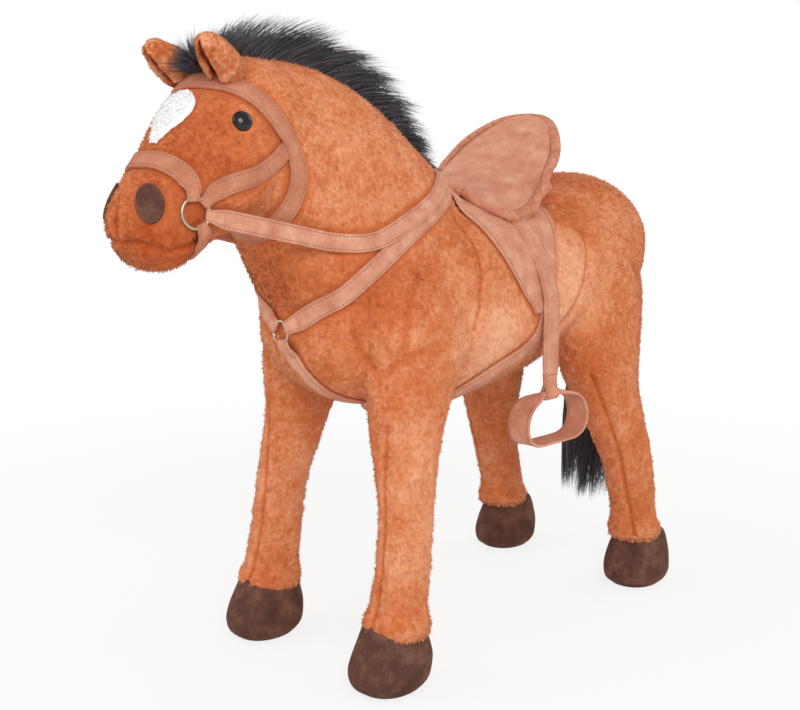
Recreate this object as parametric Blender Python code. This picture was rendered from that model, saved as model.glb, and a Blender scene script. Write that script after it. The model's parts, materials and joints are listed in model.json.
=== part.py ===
# Standing plush horse with a steel tube frame, bridle, breast harness, saddle and stirrups.
# Metres, +Z up. The horse faces -Y and its left side is +X. The origin is on the floor, under the
# middle of the whole object. Sizes below are measured from the middle of the stance, between the
# front and hind hooves, and the whole is moved along Y once at the end.

import math

import bmesh
import bpy
from mathutils import Matrix, Vector
from mathutils.bvhtree import BVHTree

# Stance
back_height = 0.5065  # floor to the back, in front of the saddle
stance_length = 0.450  # front hoof centre to hind hoof centre
front_stance_width = 0.208  # left to right hoof centres
hind_stance_width = 0.222

# Torso
torso_length = 0.565
torso_width = 0.232
torso_front_reach = 0.275  # chest ahead of the middle of the stance

# Neck and head
neck_length = 0.265
neck_depth = 0.196
neck_width = 0.156
neck_rise_deg = 41.0
head_length = 0.182
head_depth = 0.140
head_width = 0.128
head_drop_deg = 42.0

# Legs and hooves
front_leg_depth = 0.072  # fore and aft, at the knee
front_leg_width = 0.066
hind_leg_depth = 0.074
hind_leg_width = 0.066
hoof_length = 0.092
hoof_width = 0.078
hoof_height = 0.054
sole_thickness = 0.003

# Ears, eyes, face patches
ear_length = 0.0685
ear_width = 0.034
ear_cup = 0.012  # depth of the hollow
ear_wall = 0.007
lining_thickness = 0.002
eye_radius = 0.0102
eye_rise = 0.0062
eye_stem_radius = 0.0025
eye_stem_length = 0.016
washer_radius = 0.009
washer_thickness = 0.002
washer_depth = 0.011  # below the face, along the stem
blaze_width = 0.032
nostril_width = 0.027
patch_thickness = 0.0016

# Mane and tail
mane_width = 0.030
mane_height = 0.052
mane_sink = 0.006  # set into the crest before it is cut to fit
tail_length = 0.350
tail_depth = 0.054
tail_width = 0.060
tail_knob_radius = 0.016
tail_root_gap = 0.0205  # rump to the middle of the knob
dock_radius = 0.0085
dock_sink = 0.012
tail_knob_deg = 125.0  # how far round the knob is a ball, from its top
knob_room_deg = 170.0  # and the room cut for it

# Straps
strap_thickness = 0.0024
strap_bite = 0.0008  # set into the plush before it is cut to fit
strap_step = 0.0150
flap_step = 0.018
fine_step = 0.006
strap_reach = 0.030  # how far off the plush its route may be drawn
bridle_width = 0.0185
breast_width = 0.020
girth_width = 0.018
stirrup_strap_width = 0.0175

# Wire rings
bit_ring_radius = 0.0140
chest_ring_radius = 0.0115
wire_radius = 0.0013
ring_play = 0.0005
ring_stand = 0.0040  # ring plane off the plush
eye_end_width = 0.0102  # width of a strap end where it is folded round a ring
eye_end_thickness = 0.0062
eye_end_overhang = 0.0036  # past the wire
eye_end_taper = 0.016

# Saddle
seat_length = 0.195
seat_width = 0.150
cantle_rise = 0.098
seat_rim_thickness = 0.010
seat_sink = 0.072  # greatest depth of the stuffing, before it is cut to fit
binding_radius = 0.0042
flap_width = 0.165
flap_thickness = 0.0022

# Stirrups
stirrup_length = 0.112
stirrup_height = 0.058
stirrup_band_width = 0.038
stirrup_band_thickness = 0.0032
stirrup_roll_radius = 0.0036  # the band is rolled round where it passes through its strap
stirrup_drop = 0.110  # strap pivot to the middle of the roll
loop_wall = 0.0026
roll_play = 0.0008
strap_stand = 0.0016  # hanging strap off the flap

# Steel frame
tube_radius = 0.0080
frame_step = 0.045
foot_plate_radius = 0.023
foot_plate_thickness = 0.003
foot_plate_height = 0.012

# Fits
seat_gap = 0.0003  # between pieces that touch
swing_gap = 0.0006  # round a pivot
eye_sink = 0.0012  # rim of an eye below the plush
merge_reach = 0.000002  # points of a cut piece this close are one

# Rings and rows of the forms
body_sides = 20
limb_sides = 12

# Forms: rows of rings. along, top, bottom, width, pear: of torso_length, back_height, torso_width
torso_shares = (
    (0.000, 0.784, 0.723, 0.10, 0.00),
    (0.022, 0.846, 0.661, 0.44, 0.00),
    (0.070, 0.902, 0.600, 0.68, 0.00),
    (0.140, 0.954, 0.566, 0.84, 0.04),
    (0.252, 0.995, 0.548, 0.95, 0.08),
    (0.374, 1.004, 0.540, 1.00, 0.10),
    (0.513, 0.985, 0.548, 1.00, 0.10),
    (0.617, 0.992, 0.585, 0.99, 0.06),
    (0.722, 1.021, 0.625, 0.97, 0.02),
    (0.826, 1.047, 0.656, 0.95, 0.00),
    (0.913, 1.026, 0.692, 0.84, 0.00),
    (0.974, 0.959, 0.748, 0.58, 0.00),
    (1.000, 0.877, 0.810, 0.12, 0.00),
)
neck_base_shares = (0.2212, 0.8124)  # along the torso, and of the back's height
head_base_shares = (0.887, 0.0735)  # along the neck, and of its depth
neck_shares = (  # along, crest side, throat side, width, pear: of the neck's sizes
    (-0.22, 0.10, 0.10, 0.20, 0.00),
    (-0.18, 0.40, 0.34, 0.74, 0.00),
    (-0.02, 0.70, 0.50, 1.12, 0.00),
    (0.18, 0.725, 0.53, 1.14, 0.06),
    (0.40, 0.715, 0.45, 1.00, 0.08),
    (0.62, 0.655, 0.34, 0.85, 0.06),
    (0.82, 0.545, 0.28, 0.77, 0.04),
    (0.98, 0.39, 0.25, 0.64, 0.04),
    (1.08, 0.20, 0.16, 0.40, 0.00),
    (1.11, 0.05, 0.05, 0.12, 0.00),
)
head_shares = (  # along, brow side, jaw side, width, pear: of the head's sizes
    (-0.34, 0.05, 0.05, 0.12, 0.00),
    (-0.30, 0.24, 0.22, 0.50, 0.00),
    (-0.16, 0.42, 0.38, 0.86, -0.04),
    (0.02, 0.495, 0.45, 1.00, -0.08),
    (0.18, 0.49, 0.47, 1.04, -0.10),
    (0.34, 0.455, 0.44, 1.00, -0.10),
    (0.50, 0.41, 0.38, 0.88, -0.06),
    (0.66, 0.39, 0.30, 0.77, 0.00),
    (0.82, 0.345, 0.26, 0.76, 0.04),
    (0.92, 0.27, 0.21, 0.66, 0.04),
    (0.985, 0.14, 0.12, 0.40, 0.00),
    (1.00, 0.03, 0.03, 0.10, 0.00),
)
front_leg_shares = (  # height, aft, out, half depth, half width: of the back's height and the leg's sizes
    (0.902, 0.83, -0.60, 0.10, 0.10),
    (0.887, 0.83, -0.60, 0.50, 0.30),
    (0.795, 0.83, -0.44, 0.92, 0.60),
    (0.692, 0.80, -0.30, 0.91, 0.64),
    (0.610, 0.74, -0.18, 0.82, 0.64),
    (0.528, 0.60, -0.06, 0.66, 0.60),
    (0.446, 0.49, 0.00, 0.54, 0.54),
    (0.353, 0.36, 0.00, 0.47, 0.50),
    (0.251, 0.25, 0.00, 0.44, 0.48),
    (0.158, 0.14, 0.00, 0.43, 0.47),
    (0.086, 0.05, 0.00, 0.47, 0.50),
)
hind_leg_shares = (
    (0.902, -0.70, -0.60, 0.10, 0.10),
    (0.887, -0.70, -0.60, 0.60, 0.30),
    (0.795, -0.79, -0.48, 0.99, 0.60),
    (0.692, -0.90, -0.34, 1.02, 0.70),
    (0.589, -0.95, -0.20, 0.95, 0.68),
    (0.517, -0.86, -0.10, 0.83, 0.62),
    (0.446, -0.70, -0.04, 0.71, 0.56),
    (0.378, -0.54, 0.00, 0.60, 0.52),
    (0.309, -0.38, 0.00, 0.49, 0.48),
    (0.204, -0.18, 0.00, 0.44, 0.46),
    (0.086, -0.05, 0.00, 0.46, 0.50),
)

# Strap ends and hooves
eye_end_shares = (  # a strap end round a wire: reach past the wire, width, thickness
    (2.00, 1.00, 0.75),
    (1.00, 1.00, 1.00),
    (0.00, 1.00, 1.00),
    (-1.00, 0.66, 1.00),
)
hoof_shares = (  # height, aft, half length, half width: of the hoof's sizes
    (0.00, 0.00, 0.485, 0.485),
    (0.14, 0.00, 0.505, 0.505),
    (0.36, 0.00, 0.495, 0.500),
    (0.60, 0.03, 0.460, 0.475),
    (0.82, 0.07, 0.415, 0.435),
    (0.96, 0.09, 0.370, 0.385),
    (1.00, 0.09, 0.240, 0.250),
)

# Steel frame: heights are of the back's height, cross_tube_shares are side and drop
frame_height_share = 0.819
tube_turn_share = 0.71
cross_tube_shares = ((0.72, 0.5), (0.36, 0.0))
neck_tube_shares = ((0.45, 0.10), (0.92, 0.02))  # along, up: of the neck
neck_tube_end_share = 0.30  # along the head

# Ears
ear_shares = (  # along, half width, hollow depth, wall: of the ear's sizes
    (0.00, 0.42, 0.50, 1.15),
    (0.12, 0.48, 0.90, 1.15),
    (0.35, 0.50, 1.00, 1.00),
    (0.58, 0.47, 0.90, 0.90),
    (0.78, 0.38, 0.60, 0.80),
    (0.92, 0.24, 0.30, 0.66),
    (1.00, 0.08, 0.08, 0.40),
)
ear_root_shares = (-0.02, 0.50, 0.36)  # of the head: along, side, up
ear_tip_shares = (0.075, 0.82, 0.81)
ear_turn_share = 0.45  # how far the hollow turns out and down, against forward
ear_lip_share = 0.90  # width of the hollow against the ear
lining_share = 0.84  # of the ear's width

# Places on the head: along, side, up
eye_shares = (0.22, 0.93, 0.27)  # of the head: along, side, up
blaze_shares = (
    (0.19, 0.05, 0.52), (0.27, 0.04, 0.50), (0.38, 0.02, 0.48), (0.49, 0.01, 0.45),
    (0.55, 0.00, 0.44),
)
blaze_width_shares = (0.35, 0.85, 1.00, 0.92, 0.66, 0.48, 0.42, 0.26)
nostril_shares = ((0.74, 0.36, 0.34), (0.80, 0.50, 0.28), (0.88, 0.60, 0.18))
nostril_width_shares = (0.50, 0.92, 1.00, 1.00, 0.92, 0.55)
bit_ring_shares = (0.70, 0.86, 0.05)
brow_throat_shares = (
    (0.05, 0.00, 0.60), (0.04, 0.50, 0.52), (0.03, 0.86, 0.40), (0.04, 1.10, 0.14),
    (0.05, 1.14, -0.12), (0.10, 1.14, -0.28), (0.24, 1.02, -0.42), (0.40, 0.70, -0.50),
    (0.46, 0.00, -0.54),
)
cheek_shares = ((0.10, 1.12, -0.12), (0.24, 1.14, -0.12), (0.38, 1.10, -0.05), (0.52, 0.98, 0.05))
noseband_shares = ((0.62, 0.00, 0.46), (0.60, 0.40, 0.42), (0.60, 0.68, 0.34), (0.61, 0.84, 0.22))
chin_shares = ((0.75, 0.66, -0.19), (0.76, 0.38, -0.32), (0.76, 0.00, -0.37))
rein_head_shares = ((0.60, 0.98, -0.15),)
rein_free_shares = ((0.50, 0.86, -0.33),)

# Places on the neck: along, side, up
rein_neck_shares = (
    (0.58, 0.86, -0.30), (0.46, 1.02, -0.22), (0.33, 1.16, -0.02), (0.22, 1.14, 0.22),
    (0.14, 0.92, 0.50), (0.07, 0.44, 0.72), (0.05, 0.02, 0.78),
)
breast_neck_shares = (
    (0.055, 0.42, 0.735), (0.075, 0.74, 0.62), (0.130, 1.00, 0.44), (0.200, 1.16, 0.22),
    (0.245, 1.18, 0.04), (0.275, 1.14, -0.12), (0.290, 1.04, -0.25), (0.290, 0.84, -0.37),
)

# Places on the body: along, side, height
breast_body_shares = ((0.00, 0.38, 0.775),)
chest_ring_shares = (-0.01, 0.00, 0.730)
belly_strap_shares = (
    (0.010, 0.02, 0.690), (0.030, 0.05, 0.645), (0.055, 0.10, 0.600), (0.100, 0.16, 0.560),
    (0.170, 0.24, 0.530), (0.260, 0.38, 0.525), (0.340, 0.58, 0.540), (0.390, 0.76, 0.575),
    (0.415, 0.88, 0.610),
)
girth_shares = (
    (0.525, 1.02, 0.800), (0.500, 1.05, 0.745), (0.430, 1.05, 0.700), (0.370, 0.98, 0.645),
    (0.325, 0.84, 0.585), (0.300, 0.56, 0.545), (0.290, 0.00, 0.520),
)
flap_shares = (
    (0.490, 0.015, 1.020), (0.490, 0.36, 1.000), (0.490, 0.66, 0.960), (0.485, 0.90, 0.885),
    (0.490, 1.02, 0.815), (0.505, 1.05, 0.745),
)
flap_width_shares = (1.00, 1.00, 0.92, 0.76, 0.58, 0.40, 0.20)
stirrup_strap_shares = (
    (0.485, 0.40, 1.000), (0.505, 0.62, 0.970), (0.510, 0.84, 0.900), (0.510, 0.98, 0.835),
)

# Mane and tail
mane_neck_shares = (0.16, 0.34, 0.52, 0.70, 0.84, 0.95)  # along the neck
mane_head_shares = (0.02, 0.10)  # along the head, for the forelock
mane_size_shares = (  # width, height
    (0.50, 0.26), (0.90, 0.58), (1.00, 0.80), (1.00, 0.92), (1.00, 1.00), (1.00, 0.96),
    (1.00, 0.72), (0.85, 0.36),
)
tail_root_share = 0.866  # of the back's height
tail_shares = (  # down, aft, half depth, half width: of the tail's sizes
    (0.05, 0.02, 0.26, 0.24),
    (0.12, 0.10, 0.34, 0.32),
    (0.25, 0.19, 0.42, 0.42),
    (0.45, 0.165, 0.48, 0.50),
    (0.65, -0.035, 0.50, 0.50),
    (0.83, -0.33, 0.42, 0.42),
    (0.95, -0.52, 0.26, 0.28),
    (1.00, -0.60, 0.10, 0.10),
)

# Seat and stirrups: the places are along the torso and of the back's height
seat_front_shares = (0.407, 1.000)
stirrup_pivot_shares = (0.515, 0.772)
seat_shares = (  # along, reach left and right, rise at left, middle and right, depth at the middle
    (0.000, 0.067, 0.067, 0.02, 0.00, 0.02, 0.22),
    (0.077, 0.233, 0.200, -0.10, 0.02, 0.10, 0.30),
    (0.230, 0.400, 0.280, -0.13, 0.10, 0.20, 0.40),
    (0.385, 0.487, 0.333, -0.13, 0.20, 0.36, 0.55),
    (0.487, 0.507, 0.360, -0.09, 0.28, 0.48, 0.70),
    (0.590, 0.500, 0.367, 0.15, 0.38, 0.60, 0.85),
    (0.720, 0.440, 0.347, 0.48, 0.56, 0.72, 1.00),
    (0.846, 0.307, 0.280, 0.72, 0.76, 0.86, 0.90),
    (0.950, 0.167, 0.167, 0.90, 0.92, 0.95, 0.48),
    (1.000, 0.033, 0.033, 0.98, 0.98, 0.98, 0.14),
)
binding_drop_share = 0.3  # below the seat's rim, of its thickness
stirrup_shares = (  # fore and aft, height, 1 for the band's width, 1 for the roll's thickness
    (0.000, 0.94, 0.0, 1.0),
    (0.095, 0.94, 0.0, 1.0),
    (0.190, 0.925, 0.55, 0.35),
    (0.300, 0.88, 1.0, 0.0),
    (0.400, 0.76, 1.0, 0.0),
    (0.465, 0.56, 1.0, 0.0),
    (0.470, 0.34, 1.0, 0.0),
    (0.420, 0.15, 1.0, 0.0),
    (0.300, 0.045, 1.0, 0.0),
    (0.150, 0.03, 1.0, 0.0),
    (0.000, 0.03, 1.0, 0.0),
)

# Counts of points, and how the pieces are cut and drawn
ear_arc = 7  # points across the hollow
eye_rings = 3
ring_points = 18
wire_sides = 5
frame_sides = 8
drill_sides = 16
eye_sides = 12
mane_sides = 10
tail_sides = 12
seat_across = 7
seat_rows = 14
loose_share = 1.2  # of the width: how far a free guide holds a strap off the plush
strap_flat_deg = 1.2  # faces of a strap this close to one plane are joined after a cut
form_flat_deg = 0.1

# Colours
plush = (0.60, 0.21, 0.07)
plush_deep = (0.42, 0.12, 0.04)
ear_pink = (0.62, 0.17, 0.10)
white_plush = (0.86, 0.84, 0.80)
brown_suede = (0.115, 0.06, 0.045)
sole_brown = (0.05, 0.028, 0.02)
black_hair = (0.012, 0.012, 0.015)
black_gloss = (0.008, 0.008, 0.01)
tan_suede = (0.55, 0.22, 0.14)
steel = (0.50, 0.50, 0.52)
brass = (0.72, 0.60, 0.42)
white_plastic = (0.80, 0.80, 0.78)

side_axis = Vector((1, 0, 0))
aft_axis = Vector((0, 1, 0))
up_axis = Vector((0, 0, 1))
sides = (("left", 1), ("right", -1))

cutters = []


def smooth_rows(rows, count):
    """count rows on a Catmull-Rom curve through the given rows, evenly spread by row number."""
    last = len(rows) - 1
    made = []
    for i in range(count):
        place = i / (count - 1) * last
        k = min(int(place), last - 1)
        t = place - k
        four = [rows[min(max(k + n, 0), last)] for n in (-1, 0, 1, 2)]
        made.append([
            (b + (c - a) / 2 * t + (a - 2.5 * b + 2 * c - d / 2) * t * t
             + (1.5 * (b - c) + (d - a) / 2) * t ** 3)
            for a, b, c, d in zip(*four)
        ])
    return made


def circle(centre, axis, radius, around):
    """Evenly spaced points on a circle square to the axis."""
    first = axis.orthogonal().normalized()
    second = axis.cross(first).normalized()
    turns = [math.tau * k / around for k in range(around)]
    return [centre + (first * math.cos(t) + second * math.sin(t)) * radius for t in turns]


def ring(centre, across, up, half_width, over, under, pear, sides, square=2.2):
    """A rounded ring: half_width along across, over and under along up, wider below by pear."""
    points = []
    for i in range(sides):
        turn = math.tau * i / sides
        c = math.cos(turn)
        s = math.sin(turn)
        x = math.copysign(abs(c) ** (2 / square), c)
        z = math.copysign(abs(s) ** (2 / square), s)
        reach = over if s > 0 else under
        points.append(centre + across * (half_width * x * (1 - pear * z)) + up * (reach * z))
    return points


def mesh_object(name, points, faces, colour, roughness=0.9, metallic=0.0):
    """A closed mesh object with its own material, faces outward."""
    mesh = bpy.data.meshes.new(name)
    mesh.from_pydata([tuple(p) for p in points], [], faces)
    shape = bmesh.new()
    shape.from_mesh(mesh)
    bmesh.ops.recalc_face_normals(shape, faces=shape.faces)
    bmesh.ops.triangulate(shape, faces=shape.faces)
    shape.to_mesh(mesh)
    shape.free()
    mesh.shade_smooth()
    made = bpy.data.objects.new(name, mesh)
    bpy.context.scene.collection.objects.link(made)
    finish(made, colour, roughness, metallic)
    return made


def finish(piece, colour, roughness=0.9, metallic=0.0):
    """A Principled material in the piece's own colour."""
    paint = bpy.data.materials.new(piece.name)
    paint.use_nodes = True
    shader = paint.node_tree.nodes["Principled BSDF"]
    shader.inputs["Base Color"].default_value = (*colour, 1)
    shader.inputs["Roughness"].default_value = roughness
    shader.inputs["Metallic"].default_value = metallic
    piece.data.materials.clear()
    piece.data.materials.append(paint)


def loft(rings):
    """Points and faces of a closed skin over rings, with each end drawn to a point at its middle."""
    sides = len(rings[0])
    points = [p for row in rings for p in row]
    faces = []
    for r in range(len(rings) - 1):
        for s in range(sides):
            a = r * sides + s
            b = r * sides + (s + 1) % sides
            faces.append((a, b, b + sides, a + sides))
    for row, start in ((rings[0], 0), (rings[-1], (len(rings) - 1) * sides)):
        points.append(sum(row, Vector()) / sides)
        tip = len(points) - 1
        for s in range(sides):
            faces.append((start + s, start + (s + 1) % sides, tip))
    return points, faces


def band_loft(rows, closed=False):
    """Points and faces of a bar whose rings are an outer row and then an inner row that runs back."""
    around = len(rows[0])
    count = len(rows)
    points = [p for row in rows for p in row]
    faces = [
        (r * around + s, r * around + (s + 1) % around,
         (r + 1) % count * around + (s + 1) % around, (r + 1) % count * around + s)
        for r in range(count if closed else count - 1) for s in range(around)
    ]
    if not closed:
        for start in (0, (count - 1) * around):
            for s in range(around // 2 - 1):
                faces.append((start + s, start + s + 1, start + around - 2 - s, start + around - 1 - s))
    return points, faces


def form(rows, count, place, sides, square=2.2):
    """Rings from a table of shares. place(row) gives what a ring needs."""
    return [ring(*place(row), sides, square) for row in smooth_rows(rows, count)]


def mirrored(point):
    return Vector((-point.x, point.y, point.z))


def torso_place(row):
    along, top, bottom, width, pear = row
    high = top * back_height
    low = bottom * back_height
    half_height = (high - low) / 2
    centre = Vector((0, along * torso_length - torso_front_reach, low + half_height))
    return centre, side_axis, up_axis, width * torso_width / 2, half_height, half_height, pear


def rising_axes(rise_deg):
    """The forward axis that rises by rise_deg, and the axis square to it that points up."""
    rise = math.radians(rise_deg)
    return Vector((0, -math.cos(rise), math.sin(rise))), Vector((0, math.sin(rise), math.cos(rise)))


neck_along_share, neck_height_share = neck_base_shares
neck_y = neck_along_share * torso_length - torso_front_reach
neck_base = Vector((0, neck_y, neck_height_share * back_height))
neck_axis, neck_up = rising_axes(neck_rise_deg)
head_along_share, head_up_share = head_base_shares
head_base = neck_base + neck_axis * (head_along_share * neck_length) + neck_up * (head_up_share * neck_depth)
head_axis, head_up = rising_axes(-head_drop_deg)
frame_height = frame_height_share * back_height


def bent_place(base, axis, up, length, depth, width):
    """Rings square to the axis that leaves base."""
    def place(row):
        along, over, under, wide, pear = row
        centre = base + axis * (along * length)
        return centre, side_axis, up, wide * width / 2, over * depth, under * depth, pear

    return place


neck_place = bent_place(neck_base, neck_axis, neck_up, neck_length, neck_depth, neck_width)
head_place = bent_place(head_base, head_axis, head_up, head_length, head_depth, head_width)


def leg_place(hoof_y, hoof_x, depth, width):
    def place(row):
        height, aft, out, half_depth, half_width = row
        outward = out * width * math.copysign(1, hoof_x)
        centre = Vector((hoof_x + outward, hoof_y + aft * depth, height * back_height))
        reach = half_depth * depth
        return centre, side_axis, aft_axis, half_width * width, reach, reach, 0

    return place


stance = stance_length / 2
legs = {
    "front": (front_leg_shares, -stance, front_stance_width / 2, front_leg_depth, front_leg_width),
    "hind": (hind_leg_shares, stance, hind_stance_width / 2, hind_leg_depth, hind_leg_width),
}


def head_point(along, side, up):
    """A place in shares of the head's length, half width and depth."""
    middle = head_base + head_axis * (along * head_length)
    return middle + side_axis * (side * head_width / 2) + head_up * (up * head_depth)


def neck_point(along, side, up):
    middle = neck_base + neck_axis * (along * neck_length)
    return middle + side_axis * (side * neck_width / 2) + neck_up * (up * neck_depth)


def body_point(along, side, height):
    """A place in shares of the torso's length and half width and of the back's height."""
    y = along * torso_length - torso_front_reach
    return Vector((side * torso_width / 2, y, height * back_height))


# Cutting pieces to fit each other

def skin_of(pieces):
    """A search tree over the faces of pieces."""
    points = []
    faces = []
    for piece in pieces:
        start = len(points)
        points += [v.co.copy() for v in piece.data.vertices]
        faces += [[start + i for i in f.vertices] for f in piece.data.polygons]
    return BVHTree.FromPolygons(points, faces)


def swollen(piece, gap):
    """A hidden copy of a piece with every face moved out by gap, to cut its neighbours with."""
    shape = bmesh.new()
    shape.from_mesh(piece.data)
    shape.normal_update()
    moves = [v.normal * (gap * min(v.calc_shell_factor(), 2)) for v in shape.verts]
    for vertex, move in zip(shape.verts, moves):
        vertex.co += move
    mesh = bpy.data.meshes.new(piece.name + "_clear")
    shape.to_mesh(mesh)
    shape.free()
    cutter = bpy.data.objects.new(mesh.name, mesh)
    bpy.context.scene.collection.objects.link(cutter)
    return as_cutter(cutter)


def as_cutter(piece):
    piece.hide_render = True
    piece.display_type = "WIRE"
    cutters.append(piece)
    return piece


def bounds(piece):
    spots = [v.co + piece.location for v in piece.data.vertices]
    return [min(p[k] for p in spots) for k in range(3)], [max(p[k] for p in spots) for k in range(3)]


def cut(piece, tools, flat_deg=strap_flat_deg):
    """Takes each tool that is near the piece away from it, and keeps the piece's one main body."""
    low, high = bounds(piece)
    for tool in tools:
        tool_low, tool_high = bounds(tool)
        if any(high[k] < tool_low[k] or tool_high[k] < low[k] for k in range(3)):
            continue
        bake(piece, tool)
    simplify(piece, flat_deg)


def bake(piece, tool):
    """Takes the tool away from the piece, and cleans what is left."""
    step = piece.modifiers.new("cut", "BOOLEAN")
    step.operation = "DIFFERENCE"
    step.solver = "EXACT"
    step.object = tool
    view = bpy.context.evaluated_depsgraph_get()
    view.update()
    mesh = bpy.data.meshes.new_from_object(piece.evaluated_get(view))
    piece.modifiers.clear()
    shape = bmesh.new()
    shape.from_mesh(mesh)
    bmesh.ops.remove_doubles(shape, verts=shape.verts, dist=merge_reach)
    bmesh.ops.dissolve_degenerate(shape, edges=shape.edges, dist=merge_reach)
    bmesh.ops.triangulate(shape, faces=shape.faces)
    drop_chips(shape)
    shape.to_mesh(mesh)
    shape.free()
    mesh.shade_smooth()
    mesh.name = piece.name
    piece.data = mesh


def simplify(piece, flat_deg):
    """Joins faces that are nearly in one plane, where the piece stays closed."""
    shape = bmesh.new()
    shape.from_mesh(piece.data)
    flat = math.radians(flat_deg)
    bmesh.ops.dissolve_limit(shape, angle_limit=flat, verts=shape.verts, edges=shape.edges)
    bmesh.ops.triangulate(shape, faces=shape.faces)
    if all(len(e.link_faces) == 2 for e in shape.edges):
        shape.to_mesh(piece.data)
        piece.data.shade_smooth()
    shape.free()


def drop_chips(shape):
    """Keeps the largest body of a cut piece."""
    left = set(shape.faces)
    bodies = []
    while left:
        body = [left.pop()]
        for face in body:
            near = {f for edge in face.edges for f in edge.link_faces} & left
            left -= near
            body += near
        bodies.append(body)
    volumes = []
    for body in bodies:
        corners = [[v.co for v in face.verts] for face in body]
        volumes.append(abs(sum(a.dot(b.cross(c)) for a, b, c in corners)))
    for body, volume in zip(bodies, volumes):
        if volume < max(volumes):
            loose = {v for face in body for v in face.verts}
            bmesh.ops.delete(shape, geom=list(loose), context="VERTS")


# Straps and patches that lie on the plush

def curve_through(points, spacing, closed=False):
    """Evenly spaced points on a smooth curve through the given points."""
    rows = [list(p) for p in points]
    if closed:
        rows = rows[-2:] + rows + rows[:2]
    fine = [Vector(r) for r in smooth_rows(rows, 24 * len(rows))]
    if closed:
        share = 24 * len(rows) / (len(rows) - 1)
        fine = fine[round(2 * share):round((2 + len(points)) * share) + 1]
    reach = [0.0]
    for a, b in zip(fine, fine[1:]):
        reach.append(reach[-1] + (b - a).length)
    count = max(4, round(reach[-1] / spacing))
    made = []
    k = 0
    for i in range(count + (not closed)):
        goal = reach[-1] * i / count
        while k < len(fine) - 2 and reach[k + 1] < goal:
            k += 1
        step = reach[k + 1] - reach[k]
        made.append(fine[k].lerp(fine[k + 1], (goal - reach[k]) / step if step else 0))
    return made


def settle(path, skin, closed):
    """Moves a path onto the plush and evens it out, and gives the plush's outward axis along it."""
    count = len(path)
    normals = [Vector()] * count
    for turn in range(4):
        for i, p in enumerate(path):
            spot, face_normal, face, distance = skin.find_nearest(p)
            path[i] = spot
            normals[i] = face_normal
        if turn < 3:
            path = evened(path, closed)
    for turn in range(3):
        normals = evened(normals, closed)
    return path, [n.normalized() for n in normals]


def evened(values, closed):
    """Each value drawn halfway to the middle of its neighbours, with open ends kept."""
    count = len(values)
    made = []
    for i, v in enumerate(values):
        if not closed and i in (0, count - 1):
            made.append(v)
        else:
            made.append(v * 0.5 + (values[i - 1] + values[(i + 1) % count]) * 0.25)
    return made


def rise_over(spot, normal, skin):
    """How far the skin stands above a spot, along the normal."""
    start = spot + normal * strap_reach
    hit, face_normal, face, distance = skin.ray_cast(start, -normal, 2 * strap_reach)
    return strap_reach - distance if hit else None


def strap(name, guides, width, body, under=(), closed=False, rings=(None, None), loose=(),
          colour=tan_suede, thickness=strap_thickness, widths=None, across=3, step=strap_step):
    """A flat strap along guides, on body and over the pieces in under.

    A ring at an end is a centre, an axis and a radius, and the strap's end is folded round its wire.
    loose names the guides that stay off the plush. widths are shares of the width along the strap.
    """
    plush_skin = skin_of(body)
    all_skin = skin_of(list(body) + list(under)) if under else plush_skin
    path = curve_through(guides, step, closed)
    drawn = [p.copy() for p in path]
    path, normals = settle(path, plush_skin, closed)
    if loose:
        ease = loose_share * width
        for i, p in enumerate(drawn):
            nearest = min((p - guides[k]).length for k in loose)
            hold = min(max(nearest / ease - 1, 0), 1)
            hold = hold * hold * (3 - 2 * hold)
            path[i] = p.lerp(path[i], hold)
    count = len(path)
    frames = []
    for i in range(count):
        ahead = path[(i + 1) % count] if closed or i < count - 1 else path[i]
        behind = path[i - 1] if closed or i else path[i]
        along = (ahead - behind).normalized()
        normal = (normals[i] - along * normals[i].dot(along)).normalized()
        frames.append((path[i], along, normal, along.cross(normal).normalized()))
    half_widths = []
    for i in range(count):
        share = 1
        if widths:
            place = i / (count - 1) * (len(widths) - 1)
            k = min(int(place), len(widths) - 2)
            share = widths[k] + (widths[k + 1] - widths[k]) * (place - k)
        half_widths.append(share * width / 2)
    offsets = [2 * j / (across - 1) - 1 for j in range(across)]
    base = []
    lifts = []
    for (spot, along, normal, aside), half in zip(frames, half_widths):
        rises = []
        over = 0
        for o in offsets:
            q = spot + aside * (o * half)
            rise = rise_over(q, normal, plush_skin)
            if loose and (rise is None or abs(rise) > half):
                rise = 0
            rises.append(max(-half, min(half, rise or 0)))
            top = rise_over(q, normal, all_skin)
            if under and top is not None:
                over = max(over, min(top - (rise or 0), 3 * strap_thickness))
        base.append(rises)
        lifts.append(over)
    if under:
        spread = [max(lifts[max(i - 1, 0):i + 2]) for i in range(count)]
        for turn in range(2):
            spread = [max(a, b) for a, b in zip(evened(spread, closed), spread)] if turn else spread
        lifts = [s + (seat_gap if s else 0) for s in spread]
    stations = []
    for (spot, along, normal, aside), half, rises, lift in zip(frames, half_widths, base, lifts):
        outer = [spot + aside * (o * half) + normal * (r + lift + thickness) for o, r in zip(offsets, rises)]
        inner = [p - normal * (thickness + strap_bite) for p in outer]
        stations.append(outer + inner[::-1])
    for end, ring_here in zip((0, -1), rings):
        if ring_here:
            stations = fold_round_ring(stations, frames, end, ring_here, offsets)
    return mesh_object(name, *band_loft(stations, closed), colour, 0.85)


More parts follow.
